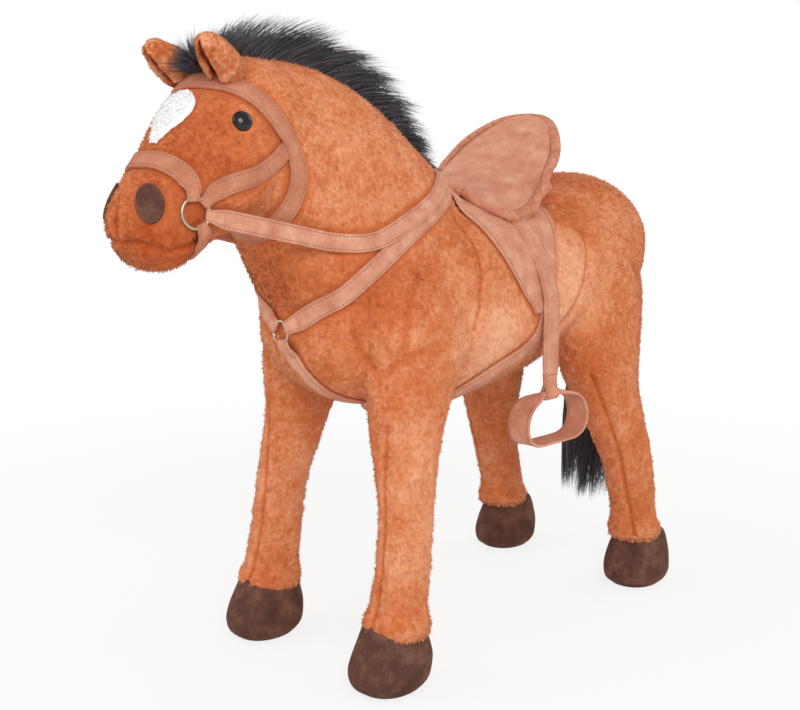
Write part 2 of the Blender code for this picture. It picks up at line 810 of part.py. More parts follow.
def fold_round_ring(stations, frames, end, ring_here, offsets):
    """Swaps the stations near one end for ones that narrow, thicken and end just past the ring's wire."""
    centre, axis, radius = ring_here
    far = [i for i, f in enumerate(frames) if (f[0] - centre).length > radius + eye_end_taper]
    keep = far[0] if end == 0 else far[-1]
    start = frames[keep][0]
    toward = start - centre
    toward = (toward - axis * toward.dot(axis)).normalized()
    aside = (toward.cross(axis) if end == 0 else axis.cross(toward)).normalized()
    made = []
    for along, wide, thick in eye_end_shares:
        reach = radius + along * eye_end_overhang
        spot = centre + toward * reach
        half = wide * eye_end_width / 2
        thick = thick * eye_end_thickness / 2
        outer = [spot + aside * (o * half) + axis * thick for o in offsets]
        inner = [spot + aside * (o * half) - axis * thick for o in offsets]
        made.append(outer + inner[::-1])
    if end == 0:
        return made[::-1] + stations[keep:]
    return stations[:keep + 1] + made


def tube_rows(path, radius, around, closed=False):
    """Rings along a path, kept from twisting."""
    count = len(path)
    rows = []
    up = None
    for i in range(count):
        ahead = path[(i + 1) % count] if closed or i < count - 1 else path[i]
        behind = path[i - 1] if closed or i else path[i]
        along = (ahead - behind).normalized()
        if up is None:
            up = along.orthogonal()
        up = (up - along * up.dot(along)).normalized()
        aside = along.cross(up)
        turns = [math.tau * k / around for k in range(around)]
        rows.append([path[i] + (up * math.cos(t) + aside * math.sin(t)) * radius for t in turns])
    return rows


def tube(name, path, radius, around=10, closed=False, colour=steel, roughness=0.4, metallic=1.0):
    """A round bar or wire along a path."""
    rows = tube_rows(path, radius, around, closed)
    skin = band_loft(rows, True) if closed else loft(rows)
    return mesh_object(name, *skin, colour, roughness, metallic)


def wire_ring(name, ring_here):
    path = circle(*ring_here, ring_points)
    return tube(name, path, wire_radius, wire_sides, True, brass, 0.25)


def move_origin(piece, spot):
    """Puts the piece's origin on a spot and leaves the piece where it is."""
    piece.data.transform(Matrix.Translation(-spot))
    piece.location = spot


# The plush body

def make_forms():
    made = {}
    made["torso"] = mesh_object("torso", *loft(form(torso_shares, 20, torso_place, body_sides)), plush)
    made["neck"] = mesh_object("neck", *loft(form(neck_shares, 13, neck_place, 18)), plush)
    made["head"] = mesh_object("head", *loft(form(head_shares, 15, head_place, 18)), plush)
    for which, (shares, y, x, depth, width) in legs.items():
        for side, way in sides:
            name = which + "_leg_" + side
            place = leg_place(y, way * x, depth, width)
            made[name] = mesh_object(name, *loft(form(shares, 12, place, limb_sides)), plush)
    return made


def hoof_ring(centre, row, bottom):
    height, aft, half_length, half_width = row
    spot = centre + aft_axis * (aft * hoof_length) + up_axis * (bottom + height * (hoof_height - bottom))
    reach = half_length * hoof_length
    return ring(spot, side_axis, aft_axis, half_width * hoof_width, reach, reach, 0, limb_sides)


def flat_loft(rings):
    """Like loft, but the first and last rings are closed flat."""
    points = [p for row in rings for p in row]
    around = len(rings[0])
    faces = []
    for start in range(0, (len(rings) - 1) * around, around):
        for s in range(around):
            a = start + s
            b = start + (s + 1) % around
            faces.append((a, b, b + around, a + around))
    faces.append(tuple(range(around))[::-1])
    faces.append(tuple(range((len(rings) - 1) * around, len(rings) * around)))
    return points, faces


def make_hooves():
    made = {}
    for which, (shares, y, x, depth, width) in legs.items():
        for side, way in sides:
            centre = Vector((way * x, y, 0))
            rows = [hoof_ring(centre, row, sole_thickness + seat_gap) for row in hoof_shares]
            name = "hoof_%s_%s" % (which, side)
            made[name] = mesh_object(name, *flat_loft(rows), brown_suede)
            foot = hoof_ring(centre, hoof_shares[0], 0)
            rows = [foot, [p + up_axis * sole_thickness for p in foot]]
            mesh_object("sole_%s_%s" % (which, side), *flat_loft(rows), sole_brown, 0.8)
    return made


# The steel frame inside

def leg_line(which, way):
    """The middle of a leg from its foot plate up to where its tube turns inward."""
    shares, y, x, depth, width = legs[which]
    place = leg_place(y, way * x, depth, width)
    rows = [row for row in shares if row[0] <= tube_turn_share][::-1]
    foot = Vector((way * x, y, foot_plate_height + foot_plate_thickness + seat_gap))
    return [foot] + [place(row)[0] for row in rows]


def flanged(rows):
    """Rings of a tube with a round plate added before the first."""
    middle = sum(rows[0], Vector()) / len(rows[0])
    along = (sum(rows[1], Vector()) / len(rows[1]) - middle).normalized()
    top = [middle + (p - middle) * (foot_plate_radius / tube_radius) for p in rows[0]]
    return [[p - along * foot_plate_thickness for p in top], top] + rows


def make_frame():
    made = {}
    for which in legs:
        line = leg_line(which, 1)
        top = line[-1]
        half = line + [
            Vector((top.x * side, top.y, frame_height - tube_radius * drop)) for side, drop in cross_tube_shares
        ]
        whole = half + [mirrored(p) for p in half[::-1]]
        rows = flanged(tube_rows(curve_through(whole, frame_step), tube_radius, frame_sides))
        rows = flanged(rows[::-1])[::-1]
        made[which] = mesh_object(which + "_leg_frame", *flat_loft(rows), steel, 0.4, 1.0)
    front_y = leg_line("front", 1)[-1].y
    hind_y = leg_line("hind", 1)[-1].y
    spine_height = frame_height + 2 * tube_radius + seat_gap
    spine_front = Vector((0, front_y - 2 * tube_radius, spine_height))
    spine_back = Vector((0, hind_y + 2 * tube_radius, spine_height))
    spine = curve_through([spine_front, spine_back], frame_step)
    made["spine"] = tube("spine_tube", spine, tube_radius, frame_sides)
    rising = [Vector((0, front_y, spine_height + 2 * tube_radius + seat_gap))]
    rising += [neck_point(along, 0, up) for along, up in neck_tube_shares]
    rising.append(head_point(neck_tube_end_share, 0, 0))
    made["neck"] = tube("neck_tube", curve_through(rising, frame_step), tube_radius, frame_sides)
    return made


# Face

def ear_frame(way):
    along, side, up = ear_root_shares
    root = head_point(along, way * side, up)
    along, side, up = ear_tip_shares
    lean = (head_point(along, way * side, up) - root).normalized()
    face = (-aft_axis + side_axis * (way * ear_turn_share) - up_axis * ear_turn_share)
    face = (face - lean * face.dot(lean)).normalized()
    return root, lean, face, lean.cross(face)


def crescent(row, frame, half_share, back, front):
    """A ring of the ear or its lining: a back arc and a narrower front arc, each with its own depth."""
    root, lean, face, aside = frame
    along, half, hollow, wall = row
    spot = root + lean * (along * ear_length)
    arcs = []
    for depth, share in ((back, half_share), (front, half_share * ear_lip_share)):
        reach = half * ear_width * share
        turns = [math.pi * k / (ear_arc - 1) for k in range(ear_arc)]
        arcs.append([spot + aside * (math.cos(t) * reach) - face * (math.sin(t) * depth) for t in turns])
    return arcs[0] + arcs[1][::-1]


def make_ears(head_clear):
    made = []
    for side, way in sides:
        frame = ear_frame(way)
        rows = smooth_rows(ear_shares, 8)
        shell = [crescent(r, frame, 1, r[2] * ear_cup + r[3] * ear_wall, r[2] * ear_cup) for r in rows]
        ear = mesh_object("ear_" + side, *band_loft(shell), plush)
        cut(ear, [head_clear])
        inner = []
        for r in rows[1:-2]:
            back = r[2] * ear_cup - seat_gap
            inner.append(crescent(r, frame, lining_share, back, back - lining_thickness))
        lining = mesh_object("ear_lining_" + side, *band_loft(inner), ear_pink)
        cut(lining, [head_clear])
        made += [ear, lining]
    return made


def make_eyes(head):
    """Domed eyes on stems, each locked by a washer behind the plush."""
    eyes = []
    washers = []
    skin = skin_of([head])
    for side, way in sides:
        along, across, up = eye_shares
        spot, axis, face, distance = skin.find_nearest(head_point(along, way * across * 1.2, up))
        profile = [(eye_stem_radius, -eye_stem_length), (eye_stem_radius, -eye_sink)]
        for k in range(eye_rings):
            turn = math.pi / 2 * k / eye_rings
            profile.append((eye_radius * math.cos(turn), eye_rise * math.sin(turn) - eye_sink))
        rows = [circle(spot + axis * height, axis, radius, eye_sides) for radius, height in profile]
        eye = mesh_object("eye_" + side, *loft(rows), black_gloss, 0.08)
        depths = (washer_depth, washer_depth + washer_thickness)
        rows = [circle(spot - axis * depth, axis, washer_radius, eye_sides) for depth in depths]
        washer = mesh_object("eye_washer_" + side, *flat_loft(rows), white_plastic, 0.5)
        cut(washer, [swollen(eye, seat_gap)])
        eyes.append(eye)
        washers.append(washer)
    return eyes, washers


def flank(points, way):
    """Places given for the left side, taken to the side of way."""
    return points if way > 0 else [mirrored(p) for p in points]


def make_patches(head, head_clear):
    """The blaze down the face and the two nostrils."""
    guides = [head_point(*p) for p in blaze_shares]
    blaze = strap("blaze", guides, blaze_width, [head], colour=white_plush, thickness=patch_thickness,
                  widths=blaze_width_shares, across=5)
    cut(blaze, [head_clear])
    for side, way in sides:
        guides = flank([head_point(*p) for p in nostril_shares], way)
        patch = strap("nostril_" + side, guides, nostril_width, [head], colour=brown_suede,
                      thickness=patch_thickness, widths=nostril_width_shares, across=5, step=fine_step)
        cut(patch, [head_clear])


# Mane and tail

def table_row(rows, along):
    """The row of a table of shares at a place along it."""
    for a, b in zip(rows, rows[1:]):
        if a[0] <= along <= b[0]:
            t = (along - a[0]) / (b[0] - a[0])
            return [p + (q - p) * t for p, q in zip(a, b)]
    raise ValueError("the place is past the table's ends")


def crest_line():
    """Places on the crest of the neck and the brow of the head, each with its outward axis."""
    line = []
    for along in mane_neck_shares:
        row = table_row(neck_shares, along)
        line.append((neck_point(along, 0, row[1]), neck_up))
    for along in mane_head_shares:
        row = table_row(head_shares, along)
        line.append((head_point(along, 0, row[1]), head_up))
    return line


def make_mane(clears):
    line = crest_line()
    rows = []
    for (spot, up), (wide, high) in zip(line, mane_size_shares):
        rows.append((*spot, *up, wide, high))
    rings = []
    for row in smooth_rows(rows, 15):
        spot = Vector(row[:3])
        up = Vector(row[3:6]).normalized()
        half_width = row[6] * mane_width / 2
        rings.append(ring(spot, side_axis, up, half_width, row[7] * mane_height, mane_sink, 0, mane_sides))
    mane = mesh_object("mane", *loft(rings), black_hair, 0.6)
    cut(mane, clears)
    return mane


def ball_rings(centre, radius, last_deg, sides):
    """Level rings of a ball, from its top down to last_deg."""
    rings = []
    count = round(last_deg / 360 * sides)
    for k in range(1, count + 1):
        turn = math.radians(last_deg) * k / count
        reach = radius * math.sin(turn)
        spot = centre + up_axis * (radius * math.cos(turn))
        rings.append(ring(spot, side_axis, aft_axis, reach, reach, reach, 0, sides, 2))
    return rings


def make_tail(torso_clear):
    """A hank of hair that hangs from a fabric stub in the rump and lifts about the middle of its knob."""
    rump = torso_length - torso_front_reach
    root = Vector((0, rump + tail_root_gap, tail_root_share * back_height))
    rings = ball_rings(root, tail_knob_radius, tail_knob_deg, tail_sides)
    for row in smooth_rows(tail_shares, 12):
        down, aft, half_depth, half_width = row
        spot = root + aft_axis * (aft * tail_depth) - up_axis * (down * tail_length)
        reach = half_depth * tail_depth
        rings.append(ring(spot, side_axis, aft_axis, half_width * tail_width, reach, reach, 0, tail_sides, 2))
    tail = mesh_object("tail_hair", *loft(rings), black_hair, 0.6)
    path = [root - aft_axis * (tail_knob_radius + dock_sink), root]
    dock = tube("tail_dock", path, dock_radius, tail_sides, False, plush_deep, 0.9, 0.0)
    room = ball_rings(root, tail_knob_radius + swing_gap, knob_room_deg, 2 * tail_sides)
    ball = as_cutter(mesh_object("tail_knob_room", *loft(room), black_hair))
    cut(dock, [torso_clear, ball])
    move_origin(tail, root)
    return tail, dock, ball


# Bridle

def seat_of_ring(spot, radius, skin):
    """A wire ring lying off the plush: its centre, its axis and its radius."""
    place, axis, face, distance = skin.find_nearest(spot)
    return place + axis * ring_stand, axis.normalized(), radius


def there_and_back(points):
    """A route drawn for the left side from the middle, carried on from the right side."""
    return [mirrored(p) for p in points[:0:-1]] + points


def make_bridle(head, neck, clears):
    """Every strap of the bridle but the reins, with the two bit rings."""
    body = [head, neck]
    skin = skin_of(body)
    rings = {}
    wires = {}
    for side, way in sides:
        spot = flank([head_point(*bit_ring_shares)], way)[0]
        rings[way] = seat_of_ring(spot, bit_ring_radius, skin)
        wires[way] = wire_ring("bit_ring_" + side, rings[way])
    wire_clears = [swollen(wire, ring_play) for wire in wires.values()]
    laid = []

    def fit(piece):
        cut(piece, clears + wire_clears + [swollen(p, seat_gap) for p in laid])
        laid.append(piece)

    ends = (rings[-1], rings[1])
    guides = there_and_back([head_point(*p) for p in noseband_shares])
    fit(strap("noseband", [rings[-1][0]] + guides + [rings[1][0]], bridle_width, body, rings=ends))
    guides = there_and_back([head_point(*p) for p in chin_shares][::-1])
    fit(strap("chin_strap", [rings[-1][0]] + guides + [rings[1][0]], bridle_width, body, rings=ends))
    for side, way in sides:
        guides = flank([head_point(*p) for p in cheek_shares], way) + [rings[way][0]]
        fit(strap("cheek_strap_" + side, guides, bridle_width, body, rings=(None, rings[way])))
    half = [head_point(*p) for p in brow_throat_shares]
    loop = half + [mirrored(p) for p in half[-2:0:-1]]
    fit(strap("brow_throat_strap", loop, bridle_width, body, laid[2:4], closed=True))
    return rings, wires, wire_clears, laid


def make_reins(body, clears, rings, wire_clears, under):
    """A rein each side, from its bit ring over the neck to the front of the saddle."""
    made = []
    for side, way in sides:
        guides = [rings[way][0]]
        guides += flank([head_point(*p) for p in rein_head_shares + rein_free_shares], way)
        guides += flank([neck_point(*p) for p in rein_neck_shares], way)
        ends = (rings[way], None)
        piece = strap("rein_" + side, guides, bridle_width, body, under, rings=ends, loose=(2,))
        cut(piece, clears + wire_clears + [swollen(p, seat_gap) for p in under + made])
        made.append(piece)
    return made


# Breast harness

def make_harness(forms, clears):
    """A strap from each side of the withers to a ring on the chest, and one from it under the belly."""
    body = [forms[n] for n in ("torso", "neck")]
    skin = skin_of(body)
    ring_here = seat_of_ring(body_point(*chest_ring_shares), chest_ring_radius, skin)
    wire = wire_ring("chest_ring", ring_here)
    wire_clear = swollen(wire, ring_play)
    made = []
    for side, way in sides:
        guides = [neck_point(*p) for p in breast_neck_shares] + [body_point(*p) for p in breast_body_shares]
        guides = flank(guides, way) + [ring_here[0]]
        piece = strap("breast_strap_" + side, guides, breast_width, body, rings=(None, ring_here))
        cut(piece, clears + [wire_clear] + [swollen(p, seat_gap) for p in made])
        made.append(piece)
    guides = [ring_here[0]] + [body_point(*p) for p in belly_strap_shares]
    belly = strap("belly_strap", guides, breast_width, body, rings=(ring_here, None))
    cut(belly, clears + [wire_clear] + [swollen(p, seat_gap) for p in made])
    return ring_here, wire, made + [belly]


def make_saddle(forms, clears, harness):
    """The girth and the two flaps."""
    torso = [forms["torso"]]
    body = torso + [forms["neck"]]
    guides = there_and_back([body_point(*p) for p in girth_shares[::-1]])
    girth = strap("girth", guides, girth_width, torso, harness[-1:])
    cut(girth, clears + [swollen(p, seat_gap) for p in harness])
    made = [girth]
    for side, way in sides:
        guides = flank([body_point(*p) for p in flap_shares], way)
        flap = strap("saddle_flap_" + side, guides, flap_width, body, [girth] + harness[:2],
                     thickness=flap_thickness, widths=flap_width_shares, across=7, step=flap_step)
        cut(flap, clears + [swollen(p, seat_gap) for p in harness + made])
        made.append(flap)
    return made


def seat_row(row):
    """The top face of the seat across one row, from its left edge to its right edge."""
    along, left, right, rise_left, rise_middle, rise_right, depth = row
    start, height = seat_front_shares
    front = body_point(start, 0, height)
    points = []
    for k in range(seat_across):
        u = 1 - 2 * k / (seat_across - 1)
        tilt = (rise_left - rise_right) / 2
        dish = (rise_left + rise_right) / 2 - rise_middle
        side = u * (left if u > 0 else right)
        rise = rise_middle + tilt * u + dish * u * u
        points.append(front + Vector((side * seat_width, along * seat_length, rise * cantle_rise)))
    return points


def make_seat(raised, clears, under):
    """A stuffed seat with a raised back, and the bound edge round its rim."""
    shares = smooth_rows(seat_shares, seat_rows)
    rows = [seat_row(r) for r in shares]
    rim = [r[0] for r in rows] + [r[-1] for r in rows[::-1]]
    drop = up_axis * (binding_drop_share * seat_rim_thickness)
    path = [p - drop for p in outside(rim, binding_radius + seat_gap)]
    binding = tube("seat_binding", path, binding_radius, 6, True, tan_suede, 0.85, 0.0)
    stations = []
    for row, share in zip(rows, shares):
        under_row = []
        for k, spot in enumerate(row):
            u = 1 - 2 * k / (seat_across - 1)
            belly = max(share[-1] * seat_sink - seat_rim_thickness, 0) * (1 - u * u)
            under_row.append(spot - up_axis * (seat_rim_thickness + belly))
        stations.append(row + under_row[::-1])
    seat = mesh_object("saddle_seat", *band_loft(stations), tan_suede, 0.85)
    under_clears = [swollen(p, seat_gap) for p in under]
    cut(binding, clears + under_clears)
    cut(seat, [raised] + clears + under_clears)


def outside(rim, offset):
    """A closed level outline moved outward by offset."""
    made = []
    for i, spot in enumerate(rim):
        before = (spot - rim[i - 1]).cross(up_axis).normalized()
        after = (rim[(i + 1) % len(rim)] - spot).cross(up_axis).normalized()
        out = (before + after).normalized()
        made.append(spot + out * (offset / max(out.dot(before), 0.5)))
    return made


# Stirrups

def pivot_of(way):
    along, height = stirrup_pivot_shares
    stand = flap_thickness + strap_stand + strap_thickness
    return body_point(along, way, height) + side_axis * (way * stand)


def drill(name, centre, axis, radius, reach):
    """A round cutter through centre."""
    rows = [circle(centre + axis * end, axis, radius, drill_sides) for end in (-reach, reach)]
    return as_cutter(mesh_object(name, *flat_loft(rows), steel))


def make_stirrup_straps(forms, clears, under):
    """A strap down each side in two lengths: the upper lies on the flap, the lower hangs from its end."""
    uppers = []
    for side, way in sides:
        pivot = pivot_of(way)
        guides = flank([body_point(*p) for p in stirrup_strap_shares], way) + [pivot]
        upper = strap("stirrup_strap_upper_" + side, guides, stirrup_strap_width, [forms["torso"]],
                      under[2:4], loose=(len(guides) - 1,))
        room = stirrup_strap_width / 2 + swing_gap
        end_clear = drill("pivot_clear", pivot, side_axis, room, stirrup_strap_width)
        cut(upper, clears + [swollen(p, seat_gap) for p in under] + [end_clear])
        hanging_strap("stirrup_strap_" + side, pivot)
        uppers.append(upper)
    return uppers


def hanging_strap(name, pivot):
    """A flat strap, round at its pivot, with a loop at its lower end for the stirrup's roll."""
    half = stirrup_strap_width / 2
    roll_height = pivot.z - stirrup_drop
    loop_radius = stirrup_roll_radius + roll_play + loop_wall
    rows = []
    for k in range(5):
        rise = math.radians(76 - 18 * k)
        rows.append((pivot.z + half * math.sin(rise), half * math.cos(rise), strap_thickness / 2))
    first = math.acos(strap_thickness / 2 / loop_radius)
    for k in range(12):
        rise = first - (first + math.radians(80)) * k / 11
        rows.append((roll_height + loop_radius * math.sin(rise), half, loop_radius * math.cos(rise)))
    stations = []
    for height, half_width, half_thickness in rows:
        spot = Vector((pivot.x, pivot.y, height))
        outer = [spot + side_axis * half_thickness + aft_axis * (k * half_width) for k in (-1, 1)]
        inner = [spot - side_axis * half_thickness + aft_axis * (k * half_width) for k in (-1, 1)]
        stations.append(outer + inner[::-1])
    piece = mesh_object(name, *band_loft(stations), tan_suede, 0.85)
    middle = Vector((pivot.x, pivot.y, roll_height))
    cut(piece, [drill("loop_bore", middle, aft_axis, stirrup_roll_radius + roll_play, stirrup_strap_width)])
    move_origin(piece, pivot)
    return piece


def make_stirrup(name, roll):
    """A flat band bent to a stirrup and rolled round at its top, hanging by its roll."""
    half = smooth_rows(stirrup_shares, 16)
    rows = half + [[-r[0], *r[1:]] for r in half[-2:0:-1]]
    top = stirrup_shares[0][1]
    spots = [
        roll + aft_axis * (r[0] * stirrup_length) + up_axis * ((r[1] - top) * stirrup_height) for r in rows
    ]
    rings = []
    count = len(rows)
    for i, (spot, row) in enumerate(zip(spots, rows)):
        along = (spots[(i + 1) % count] - spots[i - 1]).normalized()
        out = side_axis.cross(along).normalized()
        wide, rolled = (min(max(share, 0), 1) for share in row[2:])
        half_width = stirrup_roll_radius + (stirrup_band_width / 2 - stirrup_roll_radius) * wide
        half_band = stirrup_band_thickness / 2
        thick = half_band + (stirrup_roll_radius - half_band) * rolled
        rings.append(ring(spot, side_axis, out, half_width, thick, thick, 0, 8, 2 + 4 * wide))
    made = mesh_object(name, *band_loft(rings, True), tan_suede, 0.85)
    move_origin(made, roll)
    return made


def fit_forms(forms, hooves, frame, eyes, washers, tail_clear, clears):
    """Cuts the plush forms to each other, and bores them for what they hold."""
    bores = [swollen(p, seat_gap) for p in frame.values()]
    cut(forms["torso"], bores + [tail_clear], form_flat_deg)
    cut(forms["neck"], [clears["torso"]] + bores, form_flat_deg)
    held = [swollen(p, seat_gap) for p in eyes + washers]
    cut(forms["head"], [clears["neck"], clears["torso"]] + bores + held, form_flat_deg)
    for name, leg in forms.items():
        if "leg" in name:
            which, side = name.split("_leg_")
            hoof = swollen(hooves["hoof_%s_%s" % (which, side)], seat_gap)
            cut(leg, [clears["torso"], clears["neck"], hoof] + bores, form_flat_deg)
            cut(hooves["hoof_%s_%s" % (which, side)], bores)


def main():
    for old in list(bpy.data.objects):
        bpy.data.objects.remove(old, do_unlink=True)
    forms = make_forms()
    hooves = make_hooves()
    frame = make_frame()
    clears = {name: swollen(piece, seat_gap) for name, piece in forms.items()}
    ears = make_ears(clears["head"])
    eyes, washers = make_eyes(forms["head"])
    make_patches(forms["head"], clears["head"])
    mane = make_mane([clears["neck"], clears["head"]])
    tail, dock, tail_clear = make_tail(clears["torso"])
    trunk = [clears[n] for n in ("torso", "neck")]
    legs_clear = [clears[n] for n in clears if "leg" in n]
    crown = trunk + [clears["head"]]
    rings, wires, wire_clears, bridle = make_bridle(forms["head"], forms["neck"], crown)
    chest_ring, chest_wire, harness = make_harness(forms, trunk + legs_clear)
    girth, left_flap, right_flap = make_saddle(forms, trunk + legs_clear, harness)
    flaps = [left_flap, right_flap]
    body = [forms[name] for name in ("head", "neck", "torso")]
    reins = make_reins(body, crown, rings, wire_clears, bridle + harness[:2] + flaps)
    uppers = make_stirrup_straps(forms, trunk, harness[:2] + flaps + [girth])
    raised = swollen(forms["torso"], flap_thickness + 2 * seat_gap)
    make_seat(raised, trunk, flaps + harness[:2] + reins + uppers)
    for side, way in sides:
        make_stirrup("stirrup_" + side, pivot_of(way) - up_axis * stirrup_drop)
    cut(mane, [swollen(piece, seat_gap) for piece in bridle + reins])
    brow_clear = swollen(bridle[-1], seat_gap)
    for ear in ears:
        cut(ear, [brow_clear])
    fit_forms(forms, hooves, frame, eyes, washers, tail_clear, clears)
    for cutter in cutters:
        bpy.data.objects.remove(cutter, do_unlink=True)
    for way, wire in wires.items():
        move_origin(wire, rings[way][0])
    move_origin(chest_wire, chest_ring[0])
    move_whole()


def move_whole():
    """Hangs every piece on one empty that brings the middle of the whole over the origin."""
    pieces = list(bpy.data.objects)
    reach = [bounds(piece) for piece in pieces]
    middle = (min(low[1] for low, high in reach) + max(high[1] for low, high in reach)) / 2
    root = bpy.data.objects.new("horse", None)
    bpy.context.scene.collection.objects.link(root)
    root.location = -aft_axis * middle
    for piece in pieces:
        piece.parent = root


main()
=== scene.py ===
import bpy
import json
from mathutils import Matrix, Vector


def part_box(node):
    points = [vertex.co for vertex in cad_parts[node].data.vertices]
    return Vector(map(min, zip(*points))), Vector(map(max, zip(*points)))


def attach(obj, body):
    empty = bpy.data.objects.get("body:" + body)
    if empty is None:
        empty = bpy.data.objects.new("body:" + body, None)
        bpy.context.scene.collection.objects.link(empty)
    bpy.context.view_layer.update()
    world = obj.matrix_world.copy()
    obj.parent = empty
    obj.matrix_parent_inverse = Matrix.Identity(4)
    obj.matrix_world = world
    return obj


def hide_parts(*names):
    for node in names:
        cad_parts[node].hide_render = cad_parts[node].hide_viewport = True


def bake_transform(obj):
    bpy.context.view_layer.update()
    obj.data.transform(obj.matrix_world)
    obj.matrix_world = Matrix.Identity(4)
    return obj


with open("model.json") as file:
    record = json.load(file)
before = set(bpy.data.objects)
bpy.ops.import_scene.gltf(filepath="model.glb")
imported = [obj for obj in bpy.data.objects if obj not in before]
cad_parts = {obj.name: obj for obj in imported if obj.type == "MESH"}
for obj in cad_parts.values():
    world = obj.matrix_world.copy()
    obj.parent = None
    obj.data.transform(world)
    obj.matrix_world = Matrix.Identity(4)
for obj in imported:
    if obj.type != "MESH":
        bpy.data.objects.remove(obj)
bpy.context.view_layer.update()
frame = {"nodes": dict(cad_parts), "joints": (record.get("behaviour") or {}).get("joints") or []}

import json
import math

import bmesh
import bpy
import numpy as np
from mathutils import Vector
from mathutils.bvhtree import BVHTree
from mathutils.kdtree import KDTree

# A standing plush horse in a suede saddle and bridle. It faces -Y and its left side is +X.
# Places are measured from the middle of its stance, and stanceY brings that middle into the frame.
soleFront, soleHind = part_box("sole_front_left"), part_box("sole_hind_left")
stanceY = (soleFront[0].y + soleFront[1].y + soleHind[0].y + soleHind[1].y) / 4
sideAxis = np.array([1.0, 0.0, 0.0])
aftAxis = np.array([0.0, 1.0, 0.0])
upAxis = np.array([0.0, 0.0, 1.0])
sides = (("Left", "_left", 1), ("Right", "_right", -1))
stanceSpot = np.array([0.0, stanceY, 0.0])


# Curves and grids

def smoothRows(rows, count):
    # count rows on a Catmull-Rom curve through the given rows, evenly spread by row number
    rows = np.asarray(rows, float)
    last = len(rows) - 1
    place = np.linspace(0, last, count)
    k = np.minimum(place.astype(int), last - 1)
    t = (place - k)[:, None]
    a, b, c, d = (rows[np.clip(k + n, 0, last)] for n in (-1, 0, 1, 2))
    return b + (c - a) / 2 * t + (a - 2.5 * b + 2 * c - d / 2) * t ** 2 + (1.5 * (b - c) + (d - a) / 2) * t ** 3


def unit(v):
    # vectors divided by their own length; the floor keeps a zero vector at zero
    return v / np.maximum(np.linalg.norm(v, axis=-1, keepdims=True), 1e-12)


def smoothStep(t):
    # 3 t^2 - 2 t^3: rises from 0 to 1 with a level start and end
    return t * t * (3 - 2 * t)


def reachAlong(points):
    # how far along a line of points each one lies, as the sum of the steps before it
    return np.concatenate([[0], np.cumsum(np.linalg.norm(np.diff(points, axis=0), axis=1))])


def roundAxes(first, second, turn):
    # axes on a circle: first * cos + second * sin, for every turn
    turn = turn[:, None]
    return first[..., None, :] * np.cos(turn) + second[..., None, :] * np.sin(turn)


def squareCircle(count, squareness):
    # cosine and sine of a full turn in count steps, each raised to 2 / squareness with its sign kept
    turn = np.linspace(0, 2 * math.pi, count, endpoint=False)
    c, s = np.cos(turn), np.sin(turn)
    return np.sign(c) * np.abs(c) ** (2 / squareness), np.sign(s) * np.abs(s) ** (2 / squareness)


finePoints = 40  # points drawn between two guides of a curve, before it is spaced evenly


def evenPath(points, spacing, closed=False):
    # points a fixed spacing apart on a smooth curve through the given points
    points = np.asarray(points, float)
    if closed:
        points = np.vstack([points[-2:], points, points[:3]])
    fine = smoothRows(points, finePoints * (len(points) - 1) + 1)
    if closed:
        fine = fine[2 * finePoints:-2 * finePoints]
    reach = reachAlong(fine)
    count = max(4, int(round(reach[-1] / spacing)))
    goal = np.linspace(0, reach[-1], count + 1)
    if closed:
        goal = goal[:-1]
    return np.stack([np.interp(goal, reach, fine[:, k]) for k in range(3)], 1)


def gridFaces(rows, columns, closedRows=False):
    # quads between neighbouring rows of a grid of points; every row closes on itself
    r = np.arange(rows if closedRows else rows - 1)[:, None]
    c = np.arange(columns)[None, :]
    nextR, nextC = (r + 1) % rows, (c + 1) % columns
    quads = [r * columns + c, r * columns + nextC, nextR * columns + nextC, nextR * columns + c]
    return np.stack([np.broadcast_to(q, (r.size, c.size)) for q in quads], -1).reshape(-1, 4)


def linkObject(name, data):
    # an object with its data, in the scene
    made = bpy.data.objects.new(name, data)
    bpy.context.scene.collection.objects.link(made)
    return made


def makeMesh(name, points, faces, smooth=True, outward=True):
    # a mesh object from an array of points and a list of arrays of faces, with its normals turned outward
    mesh = bpy.data.meshes.new(name)
    points = np.asarray(points, float).reshape(-1, 3)
    groups = [np.asarray(group, np.int32) for group in faces if len(group)]
    corners = np.concatenate([group.ravel() for group in groups])
    counts = np.concatenate([np.full(len(group), group.shape[1]) for group in groups])
    mesh.vertices.add(len(points))
    mesh.vertices.foreach_set("co", points.ravel())
    mesh.loops.add(len(corners))
    mesh.loops.foreach_set("vertex_index", corners)
    mesh.polygons.add(len(counts))
    mesh.polygons.foreach_set("loop_start", np.concatenate([[0], np.cumsum(counts)[:-1]]).astype(np.int32))
    mesh.update(calc_edges=True)
    if outward:
        shape = bmesh.new()
        shape.from_mesh(mesh)
        bmesh.ops.recalc_face_normals(shape, faces=shape.faces)
        shape.to_mesh(mesh)
        shape.free()
    mesh.polygons.foreach_set("use_smooth", np.full(len(mesh.polygons), smooth))
    mesh.update()
    return linkObject(name, mesh)


def loftMesh(name, rings, closedRows=False):
    # a closed skin over rings of points: a grid closed round each ring, with a fan to the middle of each end
    rows, columns = rings.shape[:2]
    points = rings.reshape(-1, 3)
    faces = [gridFaces(rows, columns, closedRows)]
    if not closedRows:
        points = np.vstack([points, rings[0].mean(0), rings[-1].mean(0)])
        c = np.arange(columns)
        for start, tip in ((0, rows * columns), ((rows - 1) * columns, rows * columns + 1)):
            faces.append(np.stack([start + c, start + (c + 1) % columns, np.full(columns, tip)], 1))
    return makeMesh(name, points, faces)


def readPoints(mesh):
    # a mesh's points as one array
    points = np.empty(len(mesh.vertices) * 3)
    mesh.vertices.foreach_get("co", points)
    return points.reshape(-1, 3)


